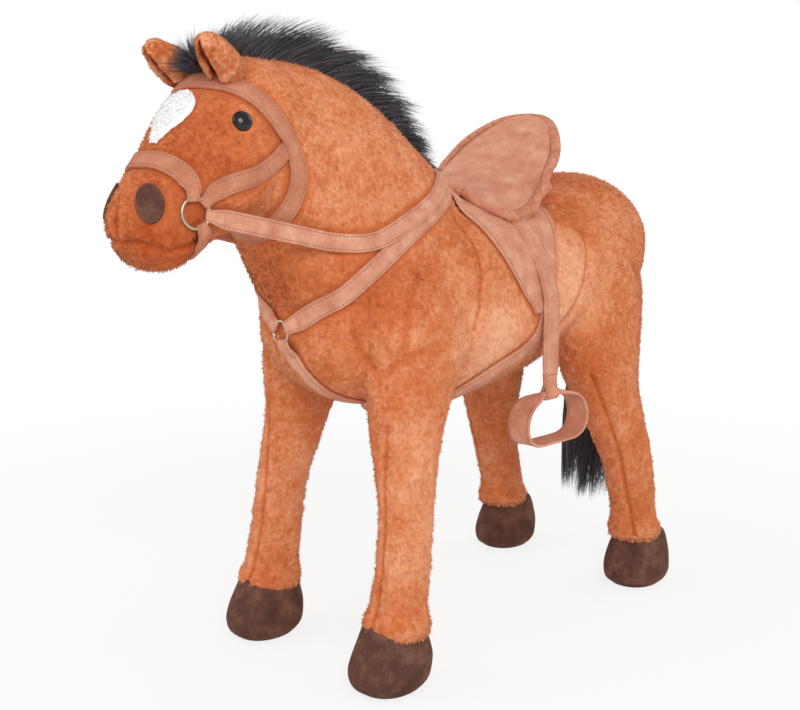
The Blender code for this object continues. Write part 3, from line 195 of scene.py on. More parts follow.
def readNormals(mesh):
    # the normals at a mesh's points as one array
    normals = np.empty(len(mesh.vertices) * 3)
    mesh.vertices.foreach_get("normal", normals)
    return normals.reshape(-1, 3)


def setPoints(mesh, points):
    # moves a mesh's points to the given places
    mesh.vertices.foreach_set("co", points.ravel())
    mesh.update()


def addTone(mesh, name, values):
    # a value for every point, which the material reads as an attribute
    layer = mesh.attributes.new(name, "FLOAT", "POINT")
    layer.data.foreach_set("value", np.asarray(values, np.float32).ravel())


def latticeNoise(points, cell, seed):
    # random values on a cubic lattice, blended between the eight corners with smooth steps, from -1 to 1;
    # the large numbers scatter each corner's own value
    spot = points / cell
    corner = np.floor(spot).astype(np.int64)
    part = smoothStep(spot - corner)
    total = np.zeros(len(points))
    for k in range(8):
        step = np.array([k & 1, k >> 1 & 1, k >> 2 & 1])
        key = (corner + step) @ np.array([73856093, 19349663, 83492791]) + seed * 26544357
        key = (key ^ key >> 13) * 1540483477
        value = ((key ^ key >> 15) & 65535) / 32767.5 - 1
        total += value * np.where(step, part, 1 - part).prod(1)
    return total


# Materials

def linearColour(code):
    # an sRGB hex value as linear light
    parts = [int(code[k:k + 2], 16) / 255 for k in (1, 3, 5)]
    return tuple(c / 12.92 if c <= 0.04045 else ((c + 0.055) / 1.055) ** 2.4 for c in parts) + (1.0,)


def addNode(tree, kind, inputs=None, **settings):
    # one node with its settings; an input is a value, or the socket that is linked to it
    node = tree.nodes.new("ShaderNode" + kind)
    for key, value in settings.items():
        setattr(node, key, value)
    for key, value in (inputs or {}).items():
        if isinstance(value, bpy.types.NodeSocket):
            tree.links.new(value, node.inputs[key])
        else:
            node.inputs[key].default_value = value
    return node


def newMaterial(name):
    # a material whose node tree is still empty
    made = bpy.data.materials.new(name)
    made.use_nodes = True
    made.node_tree.nodes.clear()
    return made, made.node_tree


def setRamp(node, stops):
    # colour stops as (place, hex value)
    ramp = node.color_ramp
    while len(ramp.elements) < len(stops):
        ramp.elements.new(0.5)
    for element, (place, code) in zip(ramp.elements, stops):
        element.position = place
        element.color = linearColour(code)
    return node.outputs["Color"]


def finishMaterial(tree, shader):
    # the shader becomes the material's surface
    addNode(tree, "OutputMaterial", {"Surface": shader})


coatLook = {
    "deep": "#A84A22", "mid": "#CF7547", "light": "#F0B08A",
    "patch": 0.055,  # metres across a patch of painted light and shade, standing for pile that leans one way
    "tuft": 0.0042,  # across a tuft
    "patchShare": 0.26, "tuftShare": 0.14, "napShare": 0.74,  # how much each one lightens the colour, as painted light
    "bump": 0.35, "bumpDepth": 0.0012,
    "roughness": 0.92, "sheen": 0.35, "paintedGlow": 0.0,  # the glow is painted light: an emission that makes white fibre look brightly lit
}


def plushMaterial(name, look):
    # short polyester pile: dull and lit at grazing angles, with painted light and shade in its colour: lighter in
    # patches where it leans one way, at the tips of the tufts, and as the nap attribute gives
    made, tree = newMaterial(name)
    place = addNode(tree, "TexCoord").outputs["Object"]
    patch = addNode(tree, "TexNoise", {"Vector": place, "Scale": 1 / look["patch"], "Detail": 3.0, "Roughness": 0.6})
    tuft = addNode(tree, "TexNoise", {"Vector": place, "Scale": 1 / look["tuft"], "Detail": 2.0, "Roughness": 0.7})
    # nap: each point's tone, with its painted light and shade
    nap = addNode(tree, "Attribute", attribute_name="nap")
    # patches of painted light and shade, for pile leaning different ways
    lean = addNode(tree, "MapRange", {"Value": patch.outputs["Fac"], "From Min": 0.25, "From Max": 0.75})
    grain = addNode(tree, "MapRange", {"Value": tuft.outputs["Fac"], "From Min": 0.3, "From Max": 0.7})
    mixed = addNode(tree, "Math", {0: lean.outputs[0], 1: look["patchShare"]}, operation="MULTIPLY").outputs[0]
    for part, share in ((grain.outputs[0], look["tuftShare"]), (nap.outputs["Fac"], look["napShare"])):
        mixed = addNode(tree, "Math", {0: part, 1: share, 2: mixed}, operation="MULTIPLY_ADD").outputs[0]
    colour = setRamp(addNode(tree, "ValToRGB", {"Fac": mixed}), [
        (0.12, look["deep"]), (0.52, look["mid"]), (0.92, look["light"]),
    ])
    bump = addNode(tree, "Bump", {"Height": grain.outputs[0], "Strength": look["bump"], "Distance": look["bumpDepth"]})
    shader = addNode(tree, "BsdfPrincipled", {
        "Base Color": colour, "Roughness": look["roughness"], "IOR": 1.45, "Specular IOR Level": 0.15,
        "Sheen Weight": look["sheen"], "Sheen Roughness": 0.45, "Sheen Tint": linearColour(look["light"]),
        "Emission Color": linearColour(look["light"]), "Emission Strength": look["paintedGlow"], "Normal": bump.outputs[0],
    })
    finishMaterial(tree, shader.outputs[0])
    return made


# Room, lamps and camera

room = {
    "floorColour": "#F4F3F0", "floorHalf": 9.0, "floorDrop": 0.0005,
    "floorWhite": 0.80, "fade": (0.55, 1.5),  # how white the camera sees the floor, and where that grows to all white
    "sky": 0.66,
    "target": (-0.103, 0.0, 0.3015), "distance": 1.46, "azimuth": 44.6, "elevation": 9.3,
    "lens": 51.75, "sensor": 36.0, "middle": 0.33,  # the lamps face the horse's middle at this height
    "lamps": [
        # name, place from the horse's middle, size across, power in watts, colour
        ("keyLamp", (1.7, -1.3, 1.15), 1.4, 23.0, "#FFFDF8"), ("fillLamp", (-1.3, -1.8, 0.9), 1.6, 11.0, "#FFFFFF"),
        ("backLamp", (0.6, 1.9, 1.4), 1.4, 8.0, "#FFFFFF"),
        ("eyeLamp", (1.25, -1.15, 1.0), 0.14, 0.6, "#FFFFFF"),  # small, so that it leaves a crisp spot on the eyes
    ],
}


def placeCamera():
    # the camera stands off its target at the azimuth and elevation of the photograph
    azimuth, elevation = math.radians(room["azimuth"]), math.radians(room["elevation"])
    target = Vector(room["target"]) + Vector(stanceSpot)
    level = math.cos(elevation)
    away = Vector((math.sin(azimuth) * level, -math.cos(azimuth) * level, math.sin(elevation)))
    data = bpy.data.cameras.new("camera")
    data.lens, data.sensor_width = room["lens"], room["sensor"]
    data.clip_start, data.clip_end = 0.05, 30.0
    camera = linkObject("camera", data)
    camera.location = target + away * room["distance"]
    camera.rotation_euler = (-away).to_track_quat("-Z", "Y").to_euler()
    bpy.context.scene.camera = camera


def placeLamp(name, place, size, power, colour):
    # a round soft box that faces the middle of the horse
    data = bpy.data.lights.new(name, "AREA")
    data.energy, data.size, data.color = power, size, linearColour(colour)[:3]
    data.shape = "DISK"
    lamp = linkObject(name, data)
    middle = Vector((0.0, stanceY, room["middle"]))
    lamp.location = middle + Vector(place)
    lamp.rotation_euler = (middle - lamp.location).to_track_quat("-Z", "Y").to_euler()


def buildRoom():
    # a wide flat floor of seamless paper, which shows shadows near the horse and turns plain white further out, under
    # a plain sky
    made, tree = newMaterial("paperBackdrop")
    seen = addNode(tree, "LightPath").outputs
    direct = addNode(tree, "Math", {0: seen["Is Camera Ray"], 1: seen["Is Glossy Ray"]}, operation="MAXIMUM")
    direct = addNode(tree, "Math", {0: direct.outputs[0], 1: seen["Is Transmission Ray"]}, operation="MAXIMUM")
    place = addNode(tree, "TexCoord").outputs["Object"]
    reach = addNode(tree, "VectorMath", {0: place}, operation="LENGTH").outputs["Value"]
    near, far = room["fade"]
    fade = addNode(tree, "MapRange", {"Value": reach, "From Min": near, "From Max": far, "To Min": room["floorWhite"]},
                   interpolation_type="SMOOTHSTEP")
    share = addNode(tree, "Math", {0: direct.outputs[0], 1: fade.outputs[0]}, operation="MULTIPLY")
    paper = addNode(tree, "BsdfDiffuse", {"Color": linearColour(room["floorColour"])})
    white = addNode(tree, "Emission", {"Color": (1, 1, 1, 1), "Strength": 1.0})
    mix = addNode(tree, "MixShader", {0: share.outputs[0], 1: paper.outputs[0], 2: white.outputs[0]})
    finishMaterial(tree, mix.outputs[0])
    corners = np.array([[-1, -1, 0], [1, -1, 0], [1, 1, 0], [-1, 1, 0]]) * room["floorHalf"]
    floor = makeMesh("floor", corners, [np.array([[0, 1, 2, 3]])], smooth=False, outward=False)
    floor.location.z = -room["floorDrop"]
    floor.data.materials.append(made)
    world = bpy.data.worlds.new("sky")
    world.use_nodes = True
    world.node_tree.nodes.clear()
    tree = world.node_tree
    seen = addNode(tree, "LightPath")
    level = addNode(tree, "MapRange", {"Value": seen.outputs["Is Camera Ray"], "To Min": room["sky"], "To Max": 1.0})
    sky = addNode(tree, "Background", {"Color": (1, 1, 1, 1), "Strength": level.outputs[0]})
    addNode(tree, "OutputWorld", {"Surface": sky.outputs[0]})
    bpy.context.scene.world = world
    for lamp in room["lamps"]:
        placeLamp(*lamp)
    bpy.context.scene.view_settings.view_transform = "Standard"


placeCamera()
buildRoom()
print("room, lamps and camera are in place")


# Forms of the stuffed body

torsoForm = {"length": 0.565, "height": 0.5065, "width": 0.232, "reach": 0.275, "rows": [
    # along, top, bottom, width, pear
    (0.000, 0.784, 0.723, 0.10, 0.00), (0.022, 0.846, 0.661, 0.44, 0.00), (0.070, 0.902, 0.600, 0.68, 0.00),
    (0.140, 0.954, 0.566, 0.84, 0.04), (0.252, 0.995, 0.548, 0.95, 0.08), (0.374, 1.004, 0.540, 1.00, 0.10),
    (0.513, 0.985, 0.564, 1.00, 0.10), (0.617, 0.992, 0.604, 0.99, 0.06), (0.722, 1.021, 0.638, 0.97, 0.02),
    (0.826, 1.047, 0.656, 0.95, 0.00), (0.913, 1.026, 0.692, 0.84, 0.00), (0.974, 0.959, 0.748, 0.58, 0.00),
    (1.000, 0.877, 0.810, 0.12, 0.00),
]}
neckForm = {"length": 0.265, "depth": 0.196, "width": 0.156, "base": (0.0, -0.1500, 0.4115), "rise": 41.0, "rows": [
    # along, crest side, throat side, width, pear
    (-0.22, 0.10, 0.10, 0.20, 0.00), (-0.18, 0.40, 0.34, 0.74, 0.00), (-0.02, 0.70, 0.50, 1.12, 0.00),
    (0.18, 0.725, 0.53, 1.14, 0.06), (0.40, 0.715, 0.45, 1.00, 0.08), (0.62, 0.655, 0.34, 0.85, 0.06),
    (0.82, 0.545, 0.28, 0.77, 0.04), (0.98, 0.39, 0.25, 0.64, 0.04), (1.08, 0.20, 0.16, 0.40, 0.00),
    (1.11, 0.05, 0.05, 0.12, 0.00),
]}
headForm = {"length": 0.182, "depth": 0.140, "width": 0.128, "base": (0.0, -0.318, 0.5765), "rise": -42.0, "rows": [
    # along, brow side, jaw side, width, pear
    (-0.34, 0.05, 0.05, 0.12, 0.00), (-0.30, 0.24, 0.22, 0.50, 0.00), (-0.16, 0.42, 0.38, 0.86, -0.04),
    (0.02, 0.495, 0.45, 1.00, -0.08), (0.18, 0.49, 0.47, 1.04, -0.10), (0.34, 0.455, 0.44, 1.00, -0.10),
    (0.50, 0.41, 0.38, 0.88, -0.06), (0.66, 0.39, 0.30, 0.77, 0.00), (0.82, 0.345, 0.26, 0.76, 0.04),
    (0.92, 0.27, 0.21, 0.66, 0.04), (0.985, 0.14, 0.12, 0.40, 0.00), (1.00, 0.03, 0.03, 0.10, 0.00),
]}
frontLegForm = {"height": 0.5065, "depth": 0.072, "width": 0.066, "foot": (0.104, -0.225), "rows": [
    # height, aft, out, half depth, half width
    (0.902, 0.83, -0.60, 0.10, 0.10), (0.887, 0.83, -0.60, 0.50, 0.30), (0.795, 0.83, -0.46, 0.90, 0.60),
    (0.692, 0.79, -0.36, 0.85, 0.62), (0.610, 0.73, -0.31, 0.73, 0.58), (0.528, 0.60, -0.27, 0.57, 0.51),
    (0.446, 0.48, -0.17, 0.46, 0.45), (0.353, 0.38, -0.04, 0.39, 0.41), (0.251, 0.28, 0.00, 0.385, 0.42),
    (0.190, 0.20, 0.00, 0.40, 0.44), (0.166, 0.17, 0.00, 0.415, 0.455), (0.154, 0.15, 0.00, 0.445, 0.485),
    (0.137, 0.13, 0.00, 0.485, 0.525), (0.121, 0.12, 0.00, 0.480, 0.520), (0.109, 0.11, 0.00, 0.42, 0.46),
]}
hindLegForm = {"height": 0.5065, "depth": 0.074, "width": 0.066, "foot": (0.111, 0.225), "rows": [
    # height, aft, out, half depth, half width
    (0.902, -0.70, -0.60, 0.10, 0.10), (0.887, -0.70, -0.60, 0.60, 0.30), (0.795, -0.80, -0.50, 0.96, 0.60),
    (0.692, -0.90, -0.42, 0.95, 0.66), (0.589, -0.89, -0.34, 0.81, 0.62), (0.517, -0.79, -0.26, 0.68, 0.56),
    (0.446, -0.64, -0.15, 0.58, 0.51), (0.378, -0.48, -0.05, 0.50, 0.47), (0.309, -0.34, 0.00, 0.43, 0.43),
    (0.204, -0.16, 0.00, 0.395, 0.42), (0.180, -0.13, 0.00, 0.40, 0.425), (0.166, -0.11, 0.00, 0.425, 0.45),
    (0.152, -0.09, 0.00, 0.460, 0.49), (0.138, -0.08, 0.00, 0.455, 0.485), (0.126, -0.07, 0.00, 0.40, 0.43),
]}
coatShape = {
    "voxel": 0.0022,  # metres between points of the coat
    "squareness": 2.2,  # 2 is an ellipse
    "around": 64, "stations": 60,  # points round a form and rings along it
    "even": 4,  # rounds of smoothing over the whole skin
    "soften": 34, "softenShare": 0.6,  # the same where forms meet, and how far each point moves there
    "meet": 0.10,  # forms meet where their depths differ by less than this
    "limbShare": 0.45,  # creases at the tops of the legs stay sharper than where the neck and head join
    "lump": 0.0016, "lumpCell": 0.052,  # unevenness of the stuffing
    "clump": 0.0006, "clumpCell": 0.0095,  # pile pressed together
    "nap": 0.0006, "napCell": 0.0034,  # single tufts
    "seamStep": 0.0015,  # metres between the places that mark a seam
    "press": 0.0014,  # how far a strap presses the pile down
    "pressGap": 0.0028, "pressFade": 0.0035,  # how far beyond the strap it stays down, and over what it rises again
    "seamPart": 0.0017, "eyePart": 0.0012,  # no tufts stand this near a seam's line or an eye's edge
    "tuck": 0.012,  # how far a piece's edge turns in under its neighbour
}


def risingAxes(degrees):
    # the forward axis that rises by degrees, and the one square to it that points up
    rise = math.radians(degrees)
    return np.array([0, -math.cos(rise), math.sin(rise)]), np.array([0, math.sin(rise), math.cos(rise)])


neckAxis, neckUp = risingAxes(neckForm["rise"])
headAxis, headUp = risingAxes(headForm["rise"])
neckBase = np.array(neckForm["base"]) + stanceSpot
headBase = np.array(headForm["base"]) + stanceSpot


def headPoint(along, side, up):
    # a place in shares of the head's length, half width and depth
    return (headBase + headAxis * along * headForm["length"] + sideAxis * side * headForm["width"] / 2
            + headUp * up * headForm["depth"])


def neckPoint(along, side, up):
    # the same on the neck
    return (neckBase + neckAxis * along * neckForm["length"] + sideAxis * side * neckForm["width"] / 2
            + neckUp * up * neckForm["depth"])


def bodyPoint(along, side, height):
    # the same on the torso, with its height measured from the floor
    return stanceSpot + np.array([
        side * torsoForm["width"] / 2, along * torsoForm["length"] - torsoForm["reach"], height * torsoForm["height"],
    ])


def footSpot(form, way):
    # the middle of a leg's foot on the floor
    return stanceSpot + np.array([way * form["foot"][0], form["foot"][1], 0])


def makeForm(origin, axis, up, stations):
    # a form is a line of stations along axis: station, side shift, up shift, half width, over, under, pear
    stations = smoothRows(np.stack(stations, 1), coatShape["stations"])
    return {"origin": origin, "axis": axis, "up": up, "stations": stations}


def collectForms():
    # every form of the body, with its rows multiplied out to metres
    forms = {}
    along, high, low, width, pear = np.array(torsoForm["rows"]).T
    high, low = high * torsoForm["height"], low * torsoForm["height"]
    half = (high - low) / 2
    stations = [along * torsoForm["length"], 0 * along, low + half, width * torsoForm["width"] / 2, half, half, pear]
    forms["torso"] = makeForm(stanceSpot - aftAxis * torsoForm["reach"], aftAxis, upAxis, stations)
    headAndNeck = (("neck", neckForm, neckBase, neckAxis, neckUp), ("head", headForm, headBase, headAxis, headUp))
    for name, form, base, axis, up in headAndNeck:
        along, over, under, width, pear = np.array(form["rows"]).T
        stations = [along * form["length"], 0 * along, 0 * along, width * form["width"] / 2, over * form["depth"],
                    under * form["depth"], pear]
        forms[name] = makeForm(base, axis, up, stations)
    for which, form in (("front", frontLegForm), ("hind", hindLegForm)):
        for side, tail, way in sides:
            height, aft, out, depth, width = np.array(form["rows"]).T
            half = depth * form["depth"]
            stations = [-height * form["height"], way * out * form["width"], aft * form["depth"],
                        width * form["width"], half, half, 0 * height]
            forms[which + "Leg" + side] = makeForm(footSpot(form, way), -upAxis, aftAxis, stations)
    return forms


def formRings(form):
    # ring k: side = half width * c * (1 - pear * s), up = over or under * s, where c and s are the cosine and
    # sine of the turn raised to 2 / squareness
    c, s = squareCircle(coatShape["around"], coatShape["squareness"])
    station, shift, lift, half, over, under, pear = form["stations"].T[:, :, None]
    side = shift + half * c * (1 - pear * s)
    rise = lift + np.where(s > 0, over, under) * s
    return form["origin"] + form["axis"] * station[..., None] + sideAxis * side[..., None] + form["up"] * rise[..., None]


def formDepth(form, points):
    # (|u|^squareness + |v|^squareness)^(1 / squareness), with u and v in shares of the form's half sizes: 1 on its
    # skin, less inside, and more outside. It climbs steeply past the form's ends, which then own nothing there
    square = coatShape["squareness"]
    away = points - form["origin"]
    station = away @ form["axis"]
    rows = form["stations"]
    shift, lift, half, over, under, pear = (np.interp(station, rows[:, 0], rows[:, k]) for k in range(1, 7))
    v = away @ form["up"] - lift
    v = v / np.where(v > 0, over, under)
    u = (away @ sideAxis - shift) / (half * np.maximum(1 - pear * v, 0.2))
    depth = (np.abs(u) ** square + np.abs(v) ** square) ** (1 / square)
    beyond = np.maximum(rows[0, 0] - station, station - rows[-1, 0])
    return depth + np.maximum(beyond, 0) * 60


def relax(points, edges, weight, steps):
    # each point moves towards the mean of its neighbours by its weight
    count = np.bincount(edges.ravel(), minlength=len(points))[:, None]
    for turn in range(steps):
        total = np.stack([
            np.bincount(edges[:, 0], points[edges[:, 1], k], len(points))
            + np.bincount(edges[:, 1], points[edges[:, 0], k], len(points)) for k in range(3)
        ], 1)
        points = points + (total / count - points) * weight[:, None]
    return points


def fuseForms(forms):
    # one skin round every form: the forms' lofts, remeshed together on a fine lattice
    parts = [loftMesh("part_" + name, formRings(form)) for name, form in forms.items()]
    shape = bmesh.new()
    for part in parts:
        shape.from_mesh(part.data)
        bpy.data.objects.remove(part, do_unlink=True)
    mesh = bpy.data.meshes.new("body")
    shape.to_mesh(mesh)
    shape.free()
    body = linkObject("body", mesh)
    remesh = body.modifiers.new("fuse", "REMESH")
    remesh.mode, remesh.voxel_size = "VOXEL", coatShape["voxel"]
    fused = bpy.data.meshes.new_from_object(body.evaluated_get(bpy.context.evaluated_depsgraph_get()))
    bpy.data.objects.remove(body, do_unlink=True)
    return fused


def shapeCoat(forms):
    # the fused skin, smoothed where forms meet: each point's move = share * exp(-(gap / meet)^2), where the gap is that
    # between its two nearest forms. Every point belongs to the form that it lies deepest in
    mesh = fuseForms(forms)
    edges = np.empty(len(mesh.edges) * 2, np.int64)
    mesh.edges.foreach_get("vertices", edges)
    edges = edges.reshape(-1, 2)
    points = readPoints(mesh)
    points = relax(points, edges, np.full(len(points), 0.5), coatShape["even"])
    depths = np.stack([formDepth(form, points) for form in forms.values()], 1)
    order = np.sort(depths, 1)
    meet = np.exp(-(np.maximum(order[:, 1] - order[:, 0], 0) / coatShape["meet"]) ** 2)
    limb = np.array(["Leg" in name for name in forms])
    isLimb = limb[np.argsort(depths, 1)[:, :2]].any(1)
    weight = coatShape["softenShare"] * meet * np.where(isLimb, coatShape["limbShare"], 1.0)
    points = relax(points, edges, weight, coatShape["soften"])
    points = relax(points, edges, 0.5 * (meet > 0.05), coatShape["even"])
    setPoints(mesh, points)
    return mesh, points, depths.argmin(1), list(forms)


coatSeams = [
    # form, depth and width of the groove, and its places; each runs down both sides, with painted shade along it
    ("body", 0.0030, 0.0050, [(0.316, 0.60, 0.972), (0.327, 0.73, 0.928), (0.333, 0.87, 0.876), (0.324, 0.95, 0.825),
                              (0.315, 0.98, 0.780), (0.298, 0.99, 0.722)]),
    ("body", 0.0045, 0.0075, [(0.673, 0.85, 0.912), (0.664, 0.95, 0.846), (0.647, 0.98, 0.787), (0.614, 0.99, 0.734),
                              (0.581, 0.97, 0.700)]),
    ("body", 0.0026, 0.0034, [(0.081, 0.85, 0.542), (0.083, 0.82, 0.437), (0.072, 0.84, 0.336), (0.063, 0.85, 0.234),
                              (0.051, 0.87, 0.153), (0.045, 0.88, 0.092)]),
    ("body", 0.0026, 0.0034, [(0.219, 0.87, 0.446), (0.195, 0.88, 0.353), (0.176, 0.89, 0.251), (0.161, 0.89, 0.158),
                              (0.155, 0.89, 0.092)]),
    ("body", 0.0026, 0.0034, [(0.660, 1.06, 0.560), (0.705, 1.11, 0.462), (0.743, 1.11, 0.380), (0.792, 1.08, 0.267),
                              (0.821, 1.12, 0.158), (0.835, 1.12, 0.092)]),
    ("body", 0.0026, 0.0034, [(0.886, 0.93, 0.446), (0.893, 0.95, 0.378), (0.899, 0.95, 0.309), (0.919, 0.95, 0.204),
                              (0.938, 0.95, 0.092)]),
    ("head", 0.0040, 0.0034, [(0.990, 0.00, 0.12), (0.972, 0.32, 0.13), (0.957, 0.52, 0.07), (0.909, 0.67, -0.02),
                              (0.819, 0.71, -0.09), (0.740, 0.70, -0.13)]),
    ("head", 0.0022, 0.0030, [(0.86, 0.00, 0.36), (0.93, 0.00, 0.27), (0.985, 0.00, 0.13)]),
]
coatCreases = [
    # the same for soft folds, where the pile stays whole and painted shade darkens the fold
    ("body", 0.0036, 0.0060, [(0.085, 0.76, 0.642), (0.096, 0.89, 0.666), (0.119, 0.98, 0.684), (0.153, 1.03, 0.697),
                              (0.188, 1.04, 0.706)]),
    ("body", 0.0026, 0.0055, [(0.054, 0.61, 0.741), (0.068, 0.64, 0.702), (0.082, 0.69, 0.672), (0.085, 0.76, 0.651)]),
    ("body", 0.0018, 0.0045, [(0.173, 0.84, 0.846), (0.132, 0.93, 0.791), (0.121, 0.96, 0.748), (0.116, 0.96, 0.704)]),
]
paintedCoatLight = [
    # form, place, reach in metres, and how much lighter or darker the pile is painted there: painted light on the hip,
    # belly, flank and up the neck, painted shade on the head, muzzle and throat
    ("head", (0.42, 0.80, 0.15), 0.045, -0.32), ("head", (0.60, 0.50, 0.45), 0.040, -0.14),
    ("head", (0.93, 0.50, 0.00), 0.045, -0.38), ("head", (0.85, 0.70, -0.20), 0.030, -0.12),
    ("neck", (0.42, 0.20, -0.45), 0.050, -0.16), ("neck", (0.70, 0.90, 0.10), 0.060, 0.02),
    ("body", (0.60, 0.98, 0.82), 0.060, 0.52), ("body", (0.38, 0.97, 0.67), 0.060, 0.44),
    ("body", (0.73, 0.80, 0.95), 0.045, 0.02), ("body", (0.20, 1.05, 0.80), 0.060, -0.10),
    ("body", (0.15, 1.15, 0.35), 0.070, 0.16), ("body", (0.70, 1.10, 0.64), 0.060, -0.10),
    ("neck", (0.55, 1.00, 0.45), 0.070, 0.14), ("body", (0.30, 1.10, 0.56), 0.035, 0.14),
    ("body", (0.089, 0.72, 0.82), 0.035, -0.20), ("body", (0.25, 0.95, 0.79), 0.040, 0.16),
    ("body", (0.64, 0.67, 0.95), 0.035, -0.18), ("body", (0.668, 0.97, 0.84), 0.030, -0.14),
]


def placeOn(form, place, way):
    # a place on the head, neck or body, on the left for way 1 and mirrored to the right for way -1
    return {"head": headPoint, "neck": neckPoint, "body": bodyPoint}[form](place[0], place[1] * way, place[2])


def distanceTo(points, places):
    # each point's distance to the nearest place, and which place that is
    marks = KDTree(len(places))
    for k, place in enumerate(places):
        marks.insert(Vector(place), k)
    marks.balance()
    found = [marks.find(Vector(p)) for p in points]
    return np.array([hit[2] for hit in found]), np.array([hit[1] for hit in found])


def seamGroove(points, seams):
    # depth * exp(-(distance / width)^2) from the nearest seam, and that distance
    spots, sizes = [], []
    for form, depth, width, places in seams:
        for way in (1, -1):
            line = evenPath([placeOn(form, place, way) for place in places], coatShape["seamStep"])
            spots.append(onSkin(line, skin)[0])
            sizes.append(np.tile([depth, width], (len(line), 1)))
    near, which = distanceTo(points, np.vstack(spots))
    sizes = np.vstack(sizes)
    return sizes[which, 0] * np.exp(-(near / sizes[which, 1]) ** 2), near


def paintedLightAndShade(points):
    # soft blots of painted light and shade, each amount * exp(-(distance / reach)^2)
    total = np.zeros(len(points))
    for form, place, reach, amount in paintedCoatLight:
        for way in (1, -1):
            away = np.linalg.norm(points - placeOn(form, place, way), axis=1)
            total += amount * np.exp(-(away / reach) ** 2)
    return total


pileTone = {
    # how light the pile is painted: its middle; the share of clumps and tufts, as painted light on their tops and
    # painted shade in their hollows; and what is left of it under and beside a strap, as painted shade where the pile
    # is pressed flat
    "middle": 0.5, "clump": 0.07, "nap": 0.13, "pressed": 0.60,
    "seam": 0.42, "seamWidth": 0.0020, "fold": 0.16, "foldWidth": 0.0050,  # painted shade along the seams' grooves and the folds
}


def raisePile(mesh, points):
    # height = clumps of pile + single tufts - seam grooves, along the normal; under the tack it is pressed flat.
    # Gives each point's tone, with painted light on the clumps and tufts, painted shade in their hollows, along seams
    # and folds and by the tack, and the blots of painted light and shade; and how free the pile is to stand up there
    normals = readNormals(mesh)
    groove, seamNear = seamGroove(points, coatSeams)
    fold, foldNear = seamGroove(points, coatCreases)
    groove = groove + fold
    clump = latticeNoise(points, coatShape["clumpCell"], 5)
    nap = latticeNoise(points, coatShape["napCell"], 8)
    near = distanceTo(points, np.vstack(pressed))[0]
    free = np.clip((near - coatShape["pressGap"]) / coatShape["pressFade"], 0, 1)
    height = (clump * coatShape["clump"] + nap * coatShape["nap"]) * free + (free - 1) * coatShape["press"] - groove
    setPoints(mesh, points + normals * height[:, None])
    parted = np.exp(-(seamNear / coatShape["seamPart"]) ** 2)
    for side, tail, way in sides:
        away = np.linalg.norm(points - eyeSpot(way)[0], axis=1)
        parted = np.maximum(parted, away < eyeForm["radius"] + coatShape["eyePart"])
    # painted light on the tops of clumps and tufts and painted shade in their hollows, and the blots of painted light
    # and shade
    tone = pileTone["middle"] + pileTone["clump"] * clump + pileTone["nap"] * nap + paintedLightAndShade(points)
    # painted shade along the seams and the folds
    tone = tone - pileTone["seam"] * np.exp(-(seamNear / pileTone["seamWidth"]) ** 2)
    tone = tone - pileTone["fold"] * np.exp(-(foldNear / pileTone["foldWidth"]) ** 2)
    # painted shade beside and under the tack, where the pile lies pressed flat
    tone = np.clip(tone, 0, 1) * (pileTone["pressed"] + (1 - pileTone["pressed"]) * free)
    return tone, free * (1 - parted)


fuzzLook = {
    "count": 158000, "most": 48000,  # tufts over the whole coat, and the most in one piece
    "length": 0.0023, "radius": 0.00070, "root": 0.0010,  # metres; root is how deep each one starts
    "stand": 0.50, "lean": 1.05, "stray": 0.15,  # a tuft's aim: out of the skin, along the comb, and at random
    "tall": (0.6, 1.15), "thick": (0.7, 1.2), "tone": (0.02, 0.035),  # least and most; the tone's mean and spread: each tuft is painted a little lighter than the skin it stands on, as painted light against the dark specks of its own shadow
    "scatter": 0.0008, "wander": 0.045,  # metres off its point, and across a sweep of the comb
    "comb": (0.55, 0.70, 0.75),  # backwards, down and at random
    "outward": 0.35, "patchStray": 0.25,  # for tufts on small pieces: how far out a face must look, and its stray
}


def tufts(name, spot, normal, comb, shade, rng, length=fuzzLook["length"]):
    # three-sided spikes rooted at each spot, leaning along comb, each lit as the skin that it stands on
    count = len(spot)
    comb = comb - normal * (comb * normal).sum(1, keepdims=True)
    aim = normal * fuzzLook["stand"] + comb * fuzzLook["lean"] + rng.normal(0, fuzzLook["stray"], (count, 3))
    tall = length * rng.uniform(*fuzzLook["tall"], count)[:, None]
    paths = np.stack([spot - normal * fuzzLook["root"], spot + unit(aim) * tall], 1)
    radii = np.tile(fuzzLook["radius"] * rng.uniform(*fuzzLook["thick"], count)[:, None], (1, 2))
    return strandMesh(name, paths, radii, np.clip(shade + rng.normal(*fuzzLook["tone"], count), 0, 1), "nap", normal)


def makeFuzz(mesh, owner, names, tone, free):
    # tufts over the coat where the pile stands free, combed down and back with a slow wander
    points, normals = readPoints(mesh), readNormals(mesh)
    rng = np.random.default_rng(7)
    pick = rng.choice(np.flatnonzero(free > 0.5), fuzzLook["count"])
    spot = points[pick] + rng.normal(0, fuzzLook["scatter"], (len(pick), 3))
    drift = np.stack([latticeNoise(spot, fuzzLook["wander"], seed) for seed in (41, 42, 43)], 1)
    back, down, random = fuzzLook["comb"]
    comb = aftAxis * back - upAxis * down + drift * random
    made = []
    for index, name in enumerate(names):
        own = np.flatnonzero(owner[pick] == index)
        for part, share in enumerate(np.array_split(own, -(-len(own) // fuzzLook["most"]))):
            title = "pile" + name[0].upper() + name[1:] + (str(part + 1) if part else "")
            made.append(tufts(title, spot[share], normals[pick[share]], comb[share], tone[pick[share]], rng))
    return made


